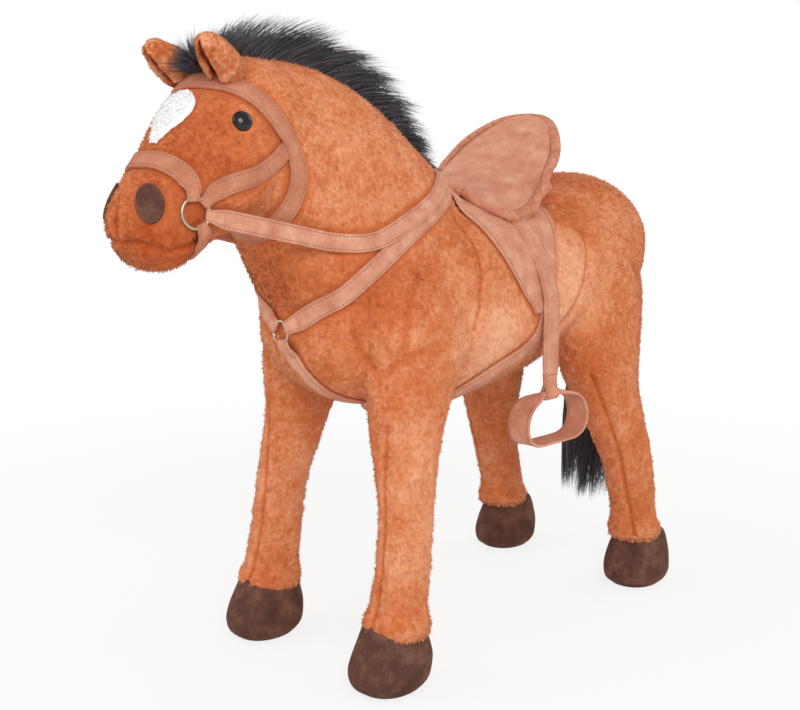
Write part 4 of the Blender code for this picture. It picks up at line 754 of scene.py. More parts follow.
def tuftsOn(piece, count, comb, length, seed, start, end, tone):
    # tufts spread evenly over a small piece: its faces are picked by their size, on the side away from a middle line
    rng = np.random.default_rng(seed)
    polygons = piece.data.polygons
    area, centre, normal = np.empty(len(polygons)), np.empty(len(polygons) * 3), np.empty(len(polygons) * 3)
    for field, values in (("area", area), ("center", centre), ("normal", normal)):
        polygons.foreach_get(field, values)
    centre, normal = centre.reshape(-1, 3), normal.reshape(-1, 3)
    share = np.clip((centre - start) @ (end - start) / ((end - start) @ (end - start)), 0, 1)[:, None]
    away = unit(centre - start - (end - start) * share)
    area = area * ((away * normal).sum(1) > fuzzLook["outward"])
    pick = rng.choice(len(area), count, p=area / area.sum())
    comb = np.tile(comb, (count, 1)) + rng.normal(0, fuzzLook["patchStray"], (count, 3))
    return tufts(piece.name + "Pile", centre[pick], normal[pick], comb, rng.uniform(*tone, count), rng, length)


def splitCoat(mesh, owner, names, nap):
    # one closed piece for each form: its own part of the skin, with its edge turned in and closed inside where it meets
    # the next
    made = {}
    # nap: the pile's tone with its painted light and shade
    addTone(mesh, "nap", nap)
    starts, corners = np.empty(len(mesh.polygons), np.int32), np.empty(len(mesh.loops), np.int32)
    mesh.polygons.foreach_get("loop_start", starts)
    mesh.loops.foreach_get("vertex_index", corners)
    faceOwner = owner[corners[starts]]
    for index, name in enumerate(names):
        shape = bmesh.new()
        shape.from_mesh(mesh)
        shape.faces.ensure_lookup_table()
        drop = [shape.faces[k] for k in np.flatnonzero(faceOwner != index)]
        bmesh.ops.delete(shape, geom=drop, context="FACES")
        shape.normal_update()
        rim = [edge for edge in shape.edges if edge.is_boundary]
        lip = bmesh.ops.extrude_edge_only(shape, edges=rim)["geom"]
        turned = {vertex: vertex.normal.copy() for edge in rim for vertex in edge.verts}
        bent = [item for item in lip if isinstance(item, bmesh.types.BMVert)]
        for vertex in bent:
            old = min((edge.other_vert(vertex) for edge in vertex.link_edges), key=lambda v: (v.co - vertex.co).length)
            vertex.co -= turned.get(old, vertex.normal) * coatShape["tuck"]
        inner = [edge for edge in shape.edges if edge.is_boundary]
        bmesh.ops.holes_fill(shape, edges=inner, sides=0)
        piece = bpy.data.meshes.new("coat" + name[0].upper() + name[1:])
        shape.to_mesh(piece)
        shape.free()
        piece.polygons.foreach_set("use_smooth", [True] * len(piece.polygons))
        made[name] = linkObject(piece.name, piece)
    return made


def faceArea(piece):
    # the sum of the areas of a piece's faces
    sizes = np.empty(len(piece.data.polygons), np.float32)
    piece.data.polygons.foreach_get("area", sizes)
    return float(sizes.sum())


def dress(piece, material, body="horse", nodes=()):
    # gives a piece its material and its body, and hides the frame nodes that it stands for
    piece.data.materials.clear()
    piece.data.materials.append(material)
    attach(piece, body)
    if nodes:
        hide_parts(*nodes)


# Tack laid on the coat

def evenOut(values, rounds, closed=False):
    # each value drawn halfway to the mean of its neighbours, with open ends kept
    values = np.array(values, float)
    for turn in range(rounds):
        mean = (np.roll(values, 1, 0) + np.roll(values, -1, 0)) / 2
        if not closed:
            mean[0], mean[-1] = values[0], values[-1]
        values = (values + mean) / 2
    return values


def onSkin(points, tree):
    # nearest places on a tree, and its outward axes there
    hits = [tree.find_nearest(Vector(p)) for p in points]
    return np.array([h[0] for h in hits]), np.array([h[1] for h in hits])


def heightOver(spots, normals, tree, reach):
    # how far the tree's skin stands above each spot along its normal, or nan where it has none
    heights = np.full(len(spots), np.nan)
    for k, (spot, normal) in enumerate(zip(spots, normals)):
        hit = tree.ray_cast(Vector(spot + normal * reach), Vector(-normal), 2 * reach)
        if hit[0] is not None:
            heights[k] = reach - hit[3]
    return heights


def ribbonMesh(name, path, normals, halfWidths, heights, look, closed=False):
    # a bar along a path. Across it, o runs from -1 to 1: the top stands at height + thickness, less a groove at the
    # stitch lines, and falls as a quarter circle over the last tenth; the bottom lies at height - bite
    thick, half = look["thickness"], np.asarray(halfWidths)
    along = np.roll(path, -1, 0) - np.roll(path, 1, 0)
    if not closed:
        along[0], along[-1] = path[1] - path[0], path[-1] - path[-2]
    along = unit(along)
    normals = unit(normals - along * (normals * along).sum(1, keepdims=True))
    aside = np.cross(along, normals)
    inset = 1 - look["inset"] / np.median(half)
    inner = [inset - 0.07, inset, inset + 0.07] if look["groove"] else []
    outer = np.array(inner + [0.9, 0.94, 0.97, 0.99, 1.0])
    middle = np.linspace(-1, 1, look["across"])
    middle = middle[np.abs(middle) < outer.min() - 0.02]
    offsets = np.unique(np.concatenate([-outer, middle, outer]))
    reach = np.abs(offsets)
    lift = thick * np.where(reach > 0.9, np.sqrt(np.maximum(1 - ((reach - 0.9) / 0.1) ** 2, 0)), 1)
    lift = lift - look["groove"] * np.exp(-((reach - inset) / 0.05) ** 2)
    bow = np.stack([np.interp(offsets, look["columns"], row) for row in heights])
    spread = offsets[None, :, None] * half[:, None, None] * aside[:, None, :]
    top = path[:, None, :] + spread + normals[:, None, :] * (bow + lift)[:, :, None]
    under = np.array([0.97, 0.5, 0.0, -0.5, -0.97])
    lower = np.stack([np.interp(under, look["columns"], row) for row in heights]) - look["bite"]
    bottom = path[:, None, :] + under[None, :, None] * half[:, None, None] * aside[:, None, :] \
        + normals[:, None, :] * lower[:, :, None]
    rings = np.concatenate([top, bottom], 1)
    piece = loftMesh(name, rings, closed)
    lines = [k for k, o in enumerate(offsets) if abs(abs(o) - inset) < 1e-9]
    seams = [(top[:, k], unit(along), normals) for k in lines]
    return piece, seams, (path, aside, half, normals)


stitch = {"pitch": 0.0044, "length": 0.0032, "radius": 0.00050, "lift": 0.25}


def stitchMesh(name, seams):
    # thread laid in dashes along each seam: every dash is a five-sided spindle half sunk in the suede
    pitch, length, radius = stitch["pitch"], stitch["length"], stitch["radius"]
    points, faces, count = [], [], 0
    turn = np.arange(5) * 2 * math.pi / 5
    for line, along, normals in seams:
        reach = reachAlong(line)
        spots = np.arange(pitch * 0.5, reach[-1], pitch)
        if not len(spots):
            continue
        at = [np.stack([np.interp(spots, reach, grid[:, k]) for k in range(3)], 1) for grid in (line, along, normals)]
        spot, axis, up = at[0], unit(at[1]), unit(at[2])
        spokes = roundAxes(np.cross(axis, up), up, turn)
        rows = []
        for share, wide in ((-0.5, 0.45), (-0.3, 1.0), (0.3, 1.0), (0.5, 0.45)):
            middle = spot + axis * share * length + up * radius * stitch["lift"]
            rows.append(middle[:, None] + radius * wide * spokes)
        grid = np.stack(rows, 1).reshape(len(spots), -1, 3)
        quads = gridFaces(4, 5)
        caps = np.array([[4, 3, 2, 1, 0], [15, 16, 17, 18, 19]])
        starts = count + np.arange(len(spots))[:, None, None] * 20
        points.append(grid.reshape(-1, 3))
        faces += [(starts + quads[None]).reshape(-1, 4), (starts + caps[None]).reshape(-1, 5)]
        count += len(spots) * 20
    return makeMesh(name, np.vstack(points), faces)


strapLook = {
    "thickness": 0.0026, "bite": 0.0010, "inset": 0.0026, "groove": 0.0004, "across": 7,
    "columns": np.linspace(-1, 1, 5), "step": 0.0022, "reach": 0.030, "ease": 1.2,
    "climb": 0.008,  # the most that a strap rises over what it crosses
}
strapWidth = {"bridle": 0.0185, "breast": 0.020, "girth": 0.018, "stirrup": 0.0270}
pressed = []  # places where tack presses the pile down


def strapLine(guides, width, tree, closed=False, rings=(None, None), free=(), widths=None, look=strapLook):
    # a path drawn near the skin, moved onto it and evened, with its normals, half widths, and heights across it that
    # follow the skin and what lies there
    path = evenPath(guides, look["step"], closed)
    drawn = path.copy()
    for turn in range(4):
        path, normals = onSkin(path, skin)
        path = evenOut(path, 10, closed)
    path, normals = onSkin(path, skin)
    path = evenOut(path, 4, closed)
    normals = unit(evenOut(normals, 60, closed))
    if free:
        near = np.min([np.linalg.norm(drawn - np.asarray(guides[k]), axis=1) for k in free], 0)
        hold = np.clip(near / (look["ease"] * width) - 1, 0, 1)[:, None]
        hold = evenOut(smoothStep(hold), 12, closed)
        path = drawn * (1 - hold) + path * hold
        path = evenOut(path, 8, closed)
        known = np.flatnonzero(hold[:, 0] > 0.98)
        index = np.arange(len(path))
        normals = unit(np.stack([np.interp(index, known, normals[known, k]) for k in range(3)], 1))
    count = len(path)
    half = np.full(count, width / 2)
    if widths is not None:
        half = half * smoothRows(np.array(widths)[:, None], count)[:, 0]
    along = unit(np.gradient(path, axis=0))
    normals = unit(normals - along * (normals * along).sum(1, keepdims=True))
    aside = np.cross(along, normals)
    columns = []
    for offset in look["columns"]:
        spots = path + aside * (offset * half)[:, None]
        low = heightOver(spots, normals, skin, look["reach"])
        top = heightOver(spots, normals, tree, look["reach"]) if tree else low
        low, top = (np.clip(np.nan_to_num(h, nan=0.0), -half, half) for h in (low, top))
        columns.append(np.maximum(low, np.minimum(top, low + look["climb"])))
    heights = np.stack(columns, 1)
    if free:
        heights = heights * hold
    base = heights.copy()
    for turn in range(4):
        heights = np.maximum(evenOut(heights, 6, closed), base)
    heights = evenOut(heights, 3, closed)
    for end, ring in zip((0, -1), rings):
        if ring is not None:
            path, normals, half, heights = foldOnRing(path, normals, half, heights, end, ring)
    return path, normals, half, heights


def layStrap(name, guides, width, tree, closed=False, look=strapLook, **options):
    # a strap along its guides, and the places under it where it presses the pile
    path, normals, half, heights = strapLine(guides, width, tree, closed, look=look, **options)
    piece, seams, (path, aside, half, normals) = ribbonMesh(name, path, normals, half, heights, look, closed)
    spots = np.linspace(-1, 1, max(7, int(width / 0.003)))
    pressed.append((path[:, None] + aside[:, None] * (spots[None, :, None] * half[:, None, None])).reshape(-1, 3))
    return piece, seams


flapLook = dict(strapLook, width=0.165, widths=(1.00, 1.00, 0.92, 0.76, 0.58, 0.40, 0.20), thickness=0.0022,
                inset=0.0055, across=27, columns=np.linspace(-1, 1, 21), step=0.003)
patchLook = dict(strapLook, thickness=0.0022, groove=0, across=25, columns=np.linspace(-1, 1, 11), step=0.0011)
ringEnd = {
    "width": 0.0112, "chestWidth": 0.0148, "taper": 0.018, "overhang": 0.0036, "drop": 0.0012, "crossSeam": 0.0190,
}


def foldOnRing(path, normals, half, heights, end, ring):
    # the strap's last stretch narrows, turns square to the ring's axis and ends round its wire
    centre, axis, radius = ring
    if end == 0:
        path, normals, half, heights = path[::-1], normals[::-1], half[::-1], heights[::-1]
    away = np.linalg.norm(path - centre, axis=1)
    keep = int(np.flatnonzero(away > radius + ringEnd["taper"])[-1])
    toward = path[keep] - centre
    toward = unit(toward - axis * (toward @ axis))
    last = centre + toward * (radius - ringEnd["overhang"])
    gap = np.linalg.norm(last - path[keep])
    count = max(4, int(gap / strapLook["step"]))
    t = np.linspace(0, 1, count + 1)[1:, None]
    ease = smoothStep(t)
    lead = path[keep] + unit(path[keep] - path[keep - 2]) * gap * t
    goal = last + toward * gap * (1 - t) - axis * ringEnd["drop"]
    added = lead * (1 - ease) + goal * ease
    turned = unit(normals[keep] * (1 - ease) + axis * ease)
    tight = ringEnd["chestWidth" if radius < ringRadius["bit_ring_left"] else "width"]
    narrow = half[keep] + (tight / 2 - half[keep]) * ease[:, 0]
    flat = heights[keep] * (1 - ease)
    out = [np.vstack([path[:keep + 1], added]), np.vstack([normals[:keep + 1], turned]),
           np.concatenate([half[:keep + 1], narrow]), np.vstack([heights[:keep + 1], flat])]
    return [part[::-1] for part in out] if end == 0 else out


def crossSeam(edges, end):
    # a row of thread across a strap, from one edge's seam to the other's, a set way in from the ring at one end
    (left, along, normals), right = edges[0], edges[-1][0]
    reach = reachAlong(left)
    k = int(np.abs(reach - (ringEnd["crossSeam"] if end == 0 else reach[-1] - ringEnd["crossSeam"])).argmin())
    return np.linspace(left[k], right[k], 5), np.tile(unit(right[k] - left[k]), (5, 1)), np.tile(normals[k], (5, 1))


def treeOf(pieces):
    # one search tree over some pieces
    shape = bmesh.new()
    for piece in pieces:
        shape.from_mesh(piece.data)
    tree = BVHTree.FromBMesh(shape)
    shape.free()
    return tree


def flank(points, way):
    # points drawn on the left, kept there for way 1 and mirrored to the right for way -1
    return [np.array([way * p[0], p[1], p[2]]) for p in points]


def thereAndBack(points):
    # a route drawn from the middle to the left, led in from the right side
    return flank(points[:0:-1], -1) + list(points)


# Routes of the tack, as places on the head, the neck and the body

routes = {
    "browThroat": [(0.105, 0.00, 0.60), (0.09, 0.50, 0.52), (0.055, 0.86, 0.40), (0.045, 1.10, 0.14), (0.05, 1.14, -0.12),
                   (0.10, 1.14, -0.28), (0.24, 1.02, -0.42), (0.40, 0.70, -0.50), (0.46, 0.00, -0.54)],
    "cheek": [(0.10, 1.12, -0.12), (0.24, 1.14, -0.12), (0.38, 1.10, -0.05), (0.52, 0.98, 0.05)],
    "nose": [(0.62, 0.00, 0.46), (0.60, 0.40, 0.42), (0.60, 0.68, 0.34), (0.61, 0.84, 0.22)],
    "chin": [(0.76, 0.00, -0.37), (0.76, 0.38, -0.32), (0.75, 0.66, -0.19)],
    "rein": [(0.475, 0.92, -0.20), (0.385, 1.01, -0.11), (0.322, 1.06, -0.02), (0.258, 1.06, 0.16), (0.176, 0.98, 0.38),
             (0.120, 0.74, 0.58), (0.07, 0.44, 0.72), (0.05, 0.02, 0.78)],
    "breastNeck": [(0.055, 0.42, 0.735), (0.075, 0.74, 0.62), (0.130, 1.00, 0.44), (0.200, 1.16, 0.22),
                   (0.245, 1.18, 0.04), (0.275, 1.14, -0.12), (0.290, 1.04, -0.25), (0.290, 0.84, -0.37)],
    "breastBody": [(0.00, 0.38, 0.775)],
    "belly": [(0.010, 0.02, 0.690), (0.030, 0.05, 0.645), (0.055, 0.10, 0.600), (0.100, 0.16, 0.560),
              (0.170, 0.24, 0.530), (0.260, 0.38, 0.525), (0.340, 0.58, 0.540), (0.390, 0.76, 0.575), (0.415, 0.88, 0.610)],
    "girth": [(0.300, 0.00, 0.520), (0.318, 0.45, 0.545), (0.345, 0.70, 0.590), (0.400, 0.84, 0.628), (0.455, 0.92, 0.652),
              (0.495, 0.97, 0.680), (0.509, 1.00, 0.715), (0.512, 1.02, 0.755), (0.525, 1.02, 0.800)],
    "flap": [(0.490, 0.015, 1.020), (0.490, 0.36, 1.000), (0.490, 0.66, 0.960), (0.485, 0.90, 0.885),
             (0.490, 1.02, 0.815), (0.505, 1.05, 0.745)],
    "stirrup": [(0.485, 0.40, 1.000), (0.505, 0.62, 0.970), (0.510, 0.84, 0.900), (0.510, 0.98, 0.835)],
    "blaze": [(0.17, 0.00, 0.49), (0.24, 0.00, 0.48), (0.33, 0.00, 0.46), (0.41, 0.00, 0.44), (0.50, 0.00, 0.42)],
    "nostril": [(0.74, 0.36, 0.34), (0.80, 0.50, 0.28), (0.88, 0.60, 0.18)],
}


def onHead(name):
    # a route's places on the head
    return [headPoint(*p) for p in routes[name]]


def onNeck(name):
    # a route's places on the neck
    return [neckPoint(*p) for p in routes[name]]


def onBody(name):
    # a route's places on the torso
    return [bodyPoint(*p) for p in routes[name]]


jointAt = {
    joint["child"]: (np.array(joint["pos_m"], float), unit(np.array(joint["axis"], float)))
    for joint in frame["joints"]
}
ringRadius = {"bit_ring_left": 0.0140, "bit_ring_right": 0.0140, "chest_ring": 0.0115}
wire = {"radius": 0.0013, "around": 64, "sides": 12}
suedeLook = {
    "base": "#CB8B72", "worn": "#DDA98F", "dark": "#B8755E", "thread": "#A9705C",
    "nap": 0.0011,  # metres: grain of the brushed face, drawn a little coarse so that it shows
    "blotch": 0.022,
}


def suedeMaterial(name, look):
    # brushed suede: dull, blotched where the nap lies over, with a fine grain and a soft glow at its edges
    made, tree = newMaterial(name)
    place = addNode(tree, "TexCoord").outputs["Object"]
    blotch = addNode(tree, "TexNoise", {"Vector": place, "Scale": 1 / look["blotch"], "Detail": 4.0, "Roughness": 0.65})
    grain = addNode(tree, "TexNoise", {"Vector": place, "Scale": 1 / look["nap"], "Detail": 2.0, "Roughness": 0.8})
    parts = {0: grain.outputs["Fac"], 1: 0.45, 2: blotch.outputs["Fac"]}
    mixed = addNode(tree, "Math", parts, operation="MULTIPLY_ADD")
    colour = setRamp(addNode(tree, "ValToRGB", {"Fac": mixed.outputs[0]}), [
        (0.45, look["dark"]), (0.70, look["base"]), (0.98, look["worn"]),
    ])
    bump = addNode(tree, "Bump", {"Height": grain.outputs["Fac"], "Strength": 0.30, "Distance": 0.0005})
    shader = addNode(tree, "BsdfPrincipled", {
        "Base Color": colour, "Roughness": 0.88, "IOR": 1.46, "Specular IOR Level": 0.20,
        "Sheen Weight": 0.25, "Sheen Roughness": 0.5, "Sheen Tint": linearColour(look["worn"]), "Normal": bump.outputs[0],
    })
    finishMaterial(tree, shader.outputs[0])
    return made


def plainMaterial(name, code, roughness, metallic=0.0, ior=1.5, grain=0.0006, depth=0.0001, shade=0.85):
    # a plain finish, polished, moulded or woven by its roughness. A fine grain, that many metres wide, makes its colour
    # and its face slightly uneven, so that highlights break up as on a real one
    made, tree = newMaterial(name)
    place = addNode(tree, "TexCoord").outputs["Object"]
    noise = addNode(tree, "TexNoise", {"Vector": place, "Scale": 1 / grain, "Detail": 2.0})
    colour = linearColour(code)
    dark = tuple(c * shade for c in colour[:3]) + (1.0,)
    mix = addNode(tree, "Mix", {"Factor": noise.outputs["Fac"]}, data_type="RGBA")
    mix.inputs[6].default_value, mix.inputs[7].default_value = dark, colour
    bump = addNode(tree, "Bump", {"Height": noise.outputs["Fac"], "Strength": 0.3, "Distance": depth})
    shader = addNode(tree, "BsdfPrincipled", {
        "Base Color": mix.outputs[2], "Roughness": roughness, "Metallic": metallic, "IOR": ior, "Normal": bump.outputs[0],
    })
    finishMaterial(tree, shader.outputs[0])
    return made


def ringMesh(name, centre, axis, radius):
    # a wire bent to a circle: centre + (radius + wire * cos v) * out(u) + wire * sin v * axis
    first = unit(np.cross(axis, upAxis))
    second = np.cross(axis, first)
    out = roundAxes(first, second, np.linspace(0, 2 * math.pi, wire["around"], endpoint=False))[:, None]
    v = np.linspace(0, 2 * math.pi, wire["sides"], endpoint=False)[None, :, None]
    rings = centre + (radius + wire["radius"] * np.cos(v)) * out + wire["radius"] * np.sin(v) * axis
    return loftMesh(name, rings, True)


reinHang = (0.22, 0.42, 0.62, 0.82)  # places where a rein hangs free, as shares of its way from ring to neck


def layTack():
    # bridle, breast harness, girth, flaps and reins, each over what was laid before it
    laid, seams = {}, {}

    def lay(name, guides, width, over=(), **options):
        # one strap, kept with its seams; where it ends on a ring, a row of thread crosses it
        tree = treeOf([laid[other] for other in over]) if over else None
        laid[name], seams[name] = layStrap(name, guides, width, tree, **options)
        for end, ring in enumerate(options.get("rings", ())):
            if ring is not None:
                seams[name].append(crossSeam(seams[name][:2], end))

    rings = {child: (*jointAt[child], radius) for child, radius in ringRadius.items()}
    right, left, chest = rings["bit_ring_right"], rings["bit_ring_left"], rings["chest_ring"]
    bridle = strapWidth["bridle"]
    lay("noseband", [right[0]] + thereAndBack(onHead("nose")) + [left[0]], bridle, rings=(right, left))
    lay("chinStrap", [right[0]] + thereAndBack(onHead("chin")) + [left[0]], bridle, rings=(right, left))
    for side, tail, way in sides:
        ring = rings["bit_ring" + tail]
        lay("cheekStrap" + side, flank(onHead("cheek"), way) + [ring[0]], bridle, rings=(None, ring))
    half = onHead("browThroat")
    lay("browThroatStrap", half + flank(half[-2:0:-1], -1), bridle, ["cheekStrapLeft", "cheekStrapRight"], closed=True)
    for side, tail, way in sides:
        guides = flank(onNeck("breastNeck") + onBody("breastBody"), way) + [chest[0]]
        lay("breastStrap" + side, guides, strapWidth["breast"], rings=(None, chest))
    lay("bellyStrap", [chest[0]] + onBody("belly"), strapWidth["breast"], rings=(chest, None))
    lay("girth", thereAndBack(onBody("girth")), strapWidth["girth"], ["bellyStrap"])
    for side, tail, way in sides:
        lay("saddleFlap" + side, flank(onBody("flap"), way), flapLook["width"], ["girth", "breastStrap" + side],
            widths=flapLook["widths"], look=flapLook)
    for side, tail, way in sides:
        ring = rings["bit_ring" + tail]
        landed = flank(onNeck("rein"), way)
        guides = [ring[0]] + [ring[0] + (landed[0] - ring[0]) * t for t in reinHang] + landed
        lay("rein" + side, guides, bridle, ["breastStrap" + side, "saddleFlap" + side], rings=(ring, None),
            free=range(1, len(reinHang) + 1))
    return laid, seams, rings


# Small pieces

def raiseNap(piece, clump, nap):
    # pile on a small piece, in clumps and tufts as on the coat, with painted light on their tops and painted shade in
    # their hollows
    points, normals = readPoints(piece.data), readNormals(piece.data)
    coarse = latticeNoise(points, coatShape["clumpCell"], 5)
    fine = latticeNoise(points, coatShape["napCell"], 8)
    setPoints(piece.data, points + normals * (coarse * clump + fine * nap)[:, None])
    # painted light on the raised clumps and tufts, painted shade in the hollows between them
    addTone(piece.data, "nap", np.clip(0.5 + 0.28 * coarse + 0.40 * fine, 0, 1))


def strandMesh(name, paths, radii, tones, layer="tone", facing=None):
    # closed three-sided strands, each tapering to a point: ring k = path + radius * (a cos v + b sin v), with
    # a and b square to the path and v a third of a turn apart. With facing, each is lit half as the skin it stands on
    count, steps = paths.shape[:2]
    along = unit(np.gradient(paths, axis=1))
    first = unit(np.cross(along, along[..., [1, 2, 0]] + 0.137))
    second = np.cross(along, first)
    turn = np.arange(3) * 2 * math.pi / 3
    spoke = roundAxes(first[:, :-1], second[:, :-1], turn)
    rings = paths[:, :-1, None] + radii[:, :-1, None, None] * spoke
    points = np.concatenate([rings.reshape(count, -1, 3), paths[:, -1:]], 1)
    each = points.shape[1]
    start = np.arange(count)[:, None, None] * each
    faces = []
    if steps > 2:
        faces.append((start + gridFaces(steps - 1, 3)[None]).reshape(-1, 4))
    low = (steps - 2) * 3
    tips = np.array([[low, low + 1, each - 1], [low + 1, low + 2, each - 1], [low + 2, low, each - 1], [2, 1, 0]])
    faces.append((start + tips[None]).reshape(-1, 3))
    piece = makeMesh(name, points, faces, outward=False)
    addTone(piece.data, layer, np.repeat(tones, each))
    if facing is not None:
        lit = np.concatenate([(facing[:, None, None] + spoke * 0.45).reshape(count, -1, 3), facing[:, None]], 1)
        piece.data.normals_split_custom_set_from_vertices(unit(lit.reshape(-1, 3)))
    return piece


earForm = {
    "length": 0.0575, "width": 0.0375, "cup": 0.011, "wall": 0.007, "lip": 0.90, "turn": 0.10, "dip": 0.45,
    "curl": 0.95,  # how far each lip turns in, in radians
    "root": (0.012, 0.48, 0.395), "tip": (0.070, 0.73, 0.852), "lining": 0.84, "liningThickness": 0.0022, "rows": [
        # along, half width, hollow, wall
        (0.00, 0.36, 0.50, 1.00), (0.12, 0.45, 0.85, 1.10), (0.35, 0.50, 1.00, 1.00), (0.58, 0.48, 0.90, 0.95),
        (0.78, 0.42, 0.64, 0.90), (0.92, 0.30, 0.34, 0.80), (0.98, 0.17, 0.16, 0.60), (1.00, 0.06, 0.06, 0.30),
    ],
}


def makeEar(side, way):
    # a cupped leaf. Row k: back arc = spot + aside * cos(v) * half - face * sin(v) * (hollow + wall), with v from
    # -curl to half a turn + curl, drawn in at the lips, and a front arc a tenth narrower without the wall
    along, across, up = earForm["root"]
    root = headPoint(along, way * across, up)
    along, across, up = earForm["tip"]
    lean = unit(headPoint(along, way * across, up) - root)
    face = -aftAxis + sideAxis * way * earForm["turn"] - upAxis * earForm["dip"]
    face = unit(face - lean * (face @ lean))
    aside = np.cross(lean, face)

    def arcs(rows, share, back, front, curl):
        # each row's back arc and front arc, joined to one ring
        bend = (curl * np.clip(rows[:, 0] / 0.30, 0, 1) ** 0.5)[:, None]
        turn = math.pi / 2 + np.linspace(-1, 1, 49)[None] * (math.pi / 2 + bend)
        inward = np.cos(turn) * (1 - 0.45 * np.maximum(-np.sin(turn), 0))
        spot = root + lean * (rows[:, :1] * earForm["length"])
        half = rows[:, 1] * earForm["width"] * share
        made = []
        for depth, width in ((back, half), (front, half * earForm["lip"])):
            made.append(spot[:, None] + aside * (inward * width[:, None])[..., None]
                        - face * (np.sin(turn) * depth[:, None])[..., None])
        return np.concatenate([made[0], made[1][:, ::-1]], 1)

    rows = smoothRows(earForm["rows"], 64)
    hollow, wall = rows[:, 2] * earForm["cup"], rows[:, 3] * earForm["wall"]
    shell = loftMesh("ear" + side, arcs(rows, 1, hollow + wall, hollow, earForm["curl"]))
    raiseNap(shell, 0.0009, 0.0008)
    inner = rows[3:-8]
    back = inner[:, 2] * earForm["cup"] - 0.0004
    lining = loftMesh("earLining" + side, arcs(inner, earForm["lining"], back, back - earForm["liningThickness"], 0.2))
    raiseNap(lining, 0.0003, 0.0004)
    return shell, lining


eyeForm = {
    "at": (0.208, 0.93, 0.29), "spread": 1.2,  # the place is looked for on the skin from this much further out
    "radius": 0.0096, "rise": 0.0062, "sink": 0.0012,
    "wall": ((0.6, -0.0035), (1.0, -0.0030), (1.0, -0.0010)),  # share of the radius and height of the rings below
}


def eyeSpot(way):
    # the eye's place on the skin, and the outward axis there
    along, across, up = eyeForm["at"]
    spot, normal = onSkin([headPoint(along, way * across * eyeForm["spread"], up)], skin)
    return spot[0], unit(normal[0])


def makeEye(side, way):
    # a dome turned about the skin's normal: radius * cos(v) out, rise * sin(v) up, on a short straight wall
    spot, normal = eyeSpot(way)
    v = np.linspace(0, math.pi / 2, 22)[:-1]
    share, level = np.array(eyeForm["wall"]).T
    radius = np.concatenate([share, np.cos(v)]) * eyeForm["radius"]
    height = np.concatenate([level, eyeForm["rise"] * np.sin(v)]) - eyeForm["sink"]
    first = unit(np.cross(normal, upAxis))
    spokes = roundAxes(first, np.cross(normal, first), np.linspace(0, 2 * math.pi, 48, endpoint=False))
    return loftMesh("eye" + side, spot + normal * height[:, None, None] + radius[:, None, None] * spokes)


hoofForm = {
    "length": 0.092, "width": 0.078, "height": 0.072, "sole": 0.003, "rows": [
        # height, aft, half length, half width
        (0.00, -0.02, 0.385, 0.400), (0.05, -0.015, 0.440, 0.450), (0.15, 0.00, 0.485, 0.490), (0.30, 0.01, 0.500, 0.500),
        (0.48, 0.035, 0.478, 0.485), (0.66, 0.055, 0.435, 0.450), (0.84, 0.07, 0.380, 0.405), (0.96, 0.07, 0.325, 0.35),
        (1.00, 0.07, 0.20, 0.22),
    ],
}


def superRing(spots, across, out, half, thick, square, sides):
    # rings of across * half * c + out * thick * s, where c and s are cosine and sine to the power 2 / square
    turn = np.linspace(0, 2 * math.pi, sides, endpoint=False)[None]
    square = np.broadcast_to(square, (len(spots),))[:, None]
    c = np.sign(np.cos(turn)) * np.abs(np.cos(turn)) ** (2 / square)
    s = np.sign(np.sin(turn)) * np.abs(np.sin(turn)) ** (2 / square)
    half, thick = (np.broadcast_to(v, (len(spots),))[:, None] for v in (half, thick))
    out = np.broadcast_to(out, (len(spots), 3))
    return spots[:, None] + across * (half * c)[..., None] + out[:, None] * (thick * s)[..., None]


def makeHoof(name, spot):
    # a stack of superellipse rings on a thin sole, the suede a little uneven over its stuffing
    rows = smoothRows(hoofForm["rows"], 34)
    rise = hoofForm["sole"] + np.clip(rows[:, 0], 0, 1) * (hoofForm["height"] - hoofForm["sole"])
    spots = spot + aftAxis * (rows[:, 1:2] * hoofForm["length"]) + upAxis * rise[:, None]
    half, thick = rows[:, 3] * hoofForm["width"], rows[:, 2] * hoofForm["length"]
    rings = superRing(spots, sideAxis, aftAxis, half, thick, 2.2, 72)
    ripple = latticeNoise(rings.reshape(-1, 3), 0.016, 21).reshape(rings.shape[:2]) * 0.0007
    rings = rings + unit(rings - spots[:, None]) * ripple[..., None]
    hoof = loftMesh("hoof" + name, rings)
    levels = np.array([0.0, 0.0004, 0.0024, hoofForm["sole"]])
    shares = np.array([0.350, 0.366, 0.378, 0.376])
    spots = spot + upAxis * levels[:, None]
    rings = superRing(spots, sideAxis, aftAxis, shares * hoofForm["width"], shares * hoofForm["length"], 2.2, 72)
    return hoof, loftMesh("sole" + name, rings)


hairLook = {
    "maneHalf": 0.0135, "maneHeight": 0.060, "maneCount": 8800, "maneSink": 0.004, "maneRadius": 0.00040,
    "tailCount": 2900, "tailRadius": 0.00052, "tailLocks": 46,
    "root": "#1C1B20", "tip": "#6A6670",
}
maneRows = [  # width and height from the withers to the poll
    (0.50, 0.34), (0.90, 0.64), (1.00, 0.84), (1.00, 0.95), (1.00, 1.00), (1.00, 0.98), (1.00, 0.90), (0.85, 0.80),
]


def crestLine():
    # places along the top of the neck and poll, where the mane is rooted, with their upward axes
    spots, ups = [], []
    for along in (0.09, 0.28, 0.48, 0.67, 0.82, 0.95):
        hit = skin.ray_cast(Vector(neckPoint(along, 0, 1.6)), Vector(-neckUp))
        spots.append(np.array(hit[0]))
        ups.append(neckUp)
    for along in (-0.05, 0.035):
        hit = skin.ray_cast(Vector(headPoint(along, 0, 1.6)), Vector(-headUp))
        spots.append(np.array(hit[0]))
        ups.append(headUp)
    return np.array(spots), np.array(ups)


